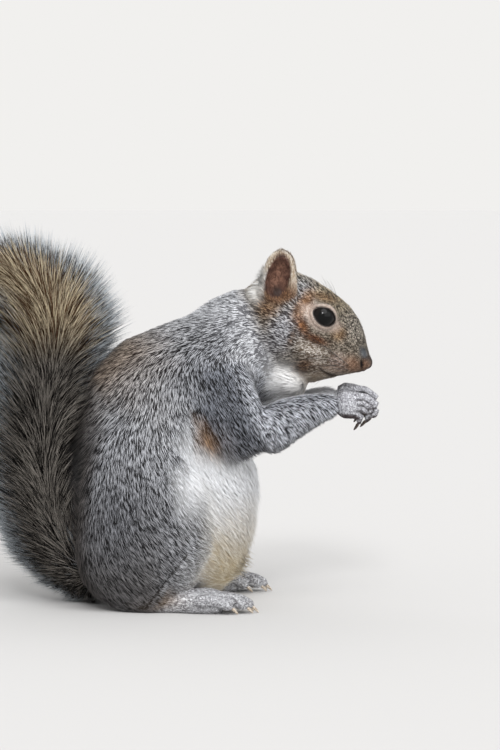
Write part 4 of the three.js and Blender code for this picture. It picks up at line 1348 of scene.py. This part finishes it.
def whiskerTree():
    # a bowed hair from each point along its own aim, tapering to nothing
    tree = bpy.data.node_groups.new("whiskers", "GeometryNodeTree")
    tree.is_modifier = True
    for name, kind in {"Roots": "Geometry", "Radius": "Float", "Droop": "Float", "Hair": "Material"}.items():
        tree.interface.new_socket(name, in_out="INPUT", socket_type="NodeSocket" + kind)
    tree.interface.new_socket("Whiskers", in_out="OUTPUT", socket_type="NodeSocketGeometry")
    add = partial(addNode, tree)
    given = tree.nodes.new("NodeGroupInput").outputs
    number, field = "ShaderNodeMath", "GeometryNodeInputNamedAttribute"
    drop = add(number, {"operation": "MULTIPLY"}, {0: given["Droop"], 1: -1.0})
    low = add("ShaderNodeCombineXYZ", None, {"Y": drop, "Z": 1.0})
    hair = add("GeometryNodeCurveQuadraticBezier", None,
               {"Resolution": 8, "Start": (0, 0, 0), "Middle": (0, 0.06, 0.55), "End": low})
    aim = add(field, {"data_type": "FLOAT_VECTOR"}, {"Name": "aim"})
    turned = add("FunctionNodeAxesToRotation", {"primary_axis": "Z", "secondary_axis": "Y"},
                 {0: aim, 1: (0, 0, 1)})
    roots = add("GeometryNodeMeshToPoints", None, {"Mesh": given["Roots"]})
    hairs = add("GeometryNodeInstanceOnPoints", None,
                {"Points": roots, "Instance": hair, "Rotation": turned,
                 "Scale": add(field, {"data_type": "FLOAT"}, {"Name": "length"})})
    hairs = add("GeometryNodeRealizeInstances", None, {"Geometry": hairs})
    along = add("GeometryNodeSplineParameter", None, None, "Factor")
    taper = add(number, {"operation": "MULTIPLY_ADD"}, {0: along, 1: -0.92, 2: 1.0})
    hairs = add("GeometryNodeSetCurveRadius", None, {"Curve": hairs, "Radius": taper})
    profile = add("GeometryNodeCurvePrimitiveCircle", None, {"Resolution": 4, "Radius": given["Radius"]},
                  "Curve")
    hairs = add("GeometryNodeCurveToMesh", None,
                {"Curve": hairs, "Profile Curve": profile, "Scale": taper, "Fill Caps": True})
    hairs = add("GeometryNodeRealizeInstances", None, {"Geometry": hairs})
    hairs = add("GeometryNodeSetMaterial", None, {"Geometry": hairs, "Material": given["Hair"]})
    tree.links.new(hairs, tree.nodes.new("NodeGroupOutput").inputs[0])
    return tree


def makeWhiskers():
    surface = BVHTree.FromPolygons([v.co for v in skin.data.vertices],
                                   [p.vertices for p in skin.data.polygons])
    chance = np.random.default_rng(whiskers["seed"])
    roots, aims, lengths = [], [], []
    spots = []    # place on the head, swing, rise and length of each
    for spot, column, row in whiskerSpots():
        share = column / (whiskerDots["columns"] - 1)
        swing, length = (np.interp(share, [0, 1], whiskers[key]) for key in ("swing", "length"))
        spots.append((spot, swing, whiskers["rise"][row], length))
    for place in whiskers["brow"]:
        spots.append((place, whiskers["browSwing"], whiskers["browRise"], whiskers["browLength"]))
    for sign in (-1, 1):
        for (ahead, up), swing, rise, length in spots:
            start = betweenEyes + noseward * ahead + crownward * up + np.array([0, 40 * sign, 0])
            hit = surface.ray_cast(Vector(start * mm), Vector((0, -sign, 0)))[0]
            if hit is None:
                continue
            turn = math.radians(swing + chance.uniform(-whiskers["scatter"], whiskers["scatter"]))
            aim = -noseward * math.sin(turn) + np.array([0, sign * math.cos(turn), 0]) + crownward * rise
            roots.append(tuple(hit))
            aims.append(unit(aim))
            lengths.append(length * chance.uniform(*whiskers["vary"]) * mm)
    mesh = bpy.data.meshes.new("whiskers")
    mesh.from_pydata(roots, [], [])
    writeAttribute(mesh, "aim", aims, "FLOAT_VECTOR")
    writeAttribute(mesh, "length", lengths)
    # stiff dark keratin with a smooth gloss, paler and duller in fine streaks
    material, tree, shader = principled("whiskerHair", {"Roughness": 0.4})
    place = addNode(tree, "ShaderNodeTexCoord", None, None, "Object")
    streak = addNode(tree, "ShaderNodeTexNoise", None, {"Vector": place, "Scale": 1 / (1.5 * mm)}, "Fac")
    tone = addNode(tree, "ShaderNodeValToRGB", {"stops": [(0.35, "#171311"), (0.7, "#3a322d")]}, {0: streak})
    tree.links.new(tone, shader["Base Color"])
    values = {"Radius": whiskers["radius"] * mm, "Droop": whiskers["droop"], "Hair": material}
    hairs = grown(newObject("whiskers", mesh), whiskerTree(), values)
    dropAttributes(hairs.data, "aim", "length")
    shadeSmooth(hairs.data)
    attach(hairs, "root")
    print("whiskers:", len(roots), "hairs,", len(hairs.data.polygons), "faces")


makeWhiskers()


# floor, backdrop and lights
studio = {
    "floorTone": "#cdcccb", "backTone": "#f1f0ee", "world": 0.72, "floorReach": 60,
    "lamps": {  # strength, how wide the soft disc looks in degrees, and where it shines from
        "key": (1.5, 46, (0.3, -0.8, 1.0)), "fill": (0.85, 60, (0.8, -0.7, 0.2)),
        "back": (0.5, 50, (-0.3, 0.9, 0.9)), "glint": (0.95, 12, (0.0, -0.95, 0.6)),
    },
}


def makeStudio():
    reach = studio["floorReach"]
    floor = bpy.data.meshes.new("floor")
    floor.from_pydata([(-reach, -reach, 0), (reach, -reach, 0), (reach, reach, 0), (-reach, reach, 0)], [],
                      [(0, 1, 2, 3)])
    material, _, _ = principled("paperFloor", {"Base Color": linear(studio["floorTone"]), "Roughness": 1.0,
                                               "Specular IOR Level": 0.0})
    floor.materials.append(material)
    newObject("floor", floor)
    world = bpy.data.worlds.new("studio")
    bpy.context.scene.world = world
    world.use_nodes = True
    tree = world.node_tree
    rays = addNode(tree, "ShaderNodeLightPath").node.outputs
    plus = {"operation": "ADD", "use_clamp": True}
    seen = addNode(tree, "ShaderNodeMath", plus, {0: rays["Is Camera Ray"], 1: rays["Is Glossy Ray"]})
    seen = addNode(tree, "ShaderNodeMath", plus, {0: seen, 1: rays["Is Transmission Ray"]})
    tone = addNode(tree, "ShaderNodeMix", {"data_type": "RGBA"},
                   {0: seen, 6: linear("#ffffff"), 7: linear(studio["backTone"])}, 2)
    strength = addNode(tree, "ShaderNodeMix", {"data_type": "FLOAT"}, {0: seen, 2: studio["world"], 3: 1.0})
    background = tree.nodes["Background"]
    tree.links.new(tone, background.inputs["Color"])
    tree.links.new(strength, background.inputs["Strength"])
    for name, (strength, spread, place) in studio["lamps"].items():
        data = bpy.data.lights.new(name, "SUN")
        data.energy, data.angle = strength, math.radians(spread)
        light = newObject(name, data)
        light.rotation_euler = Vector(place).to_track_quat("Z", "Y").to_euler()


makeStudio()
bpy.context.scene.view_settings.view_transform = "Standard"
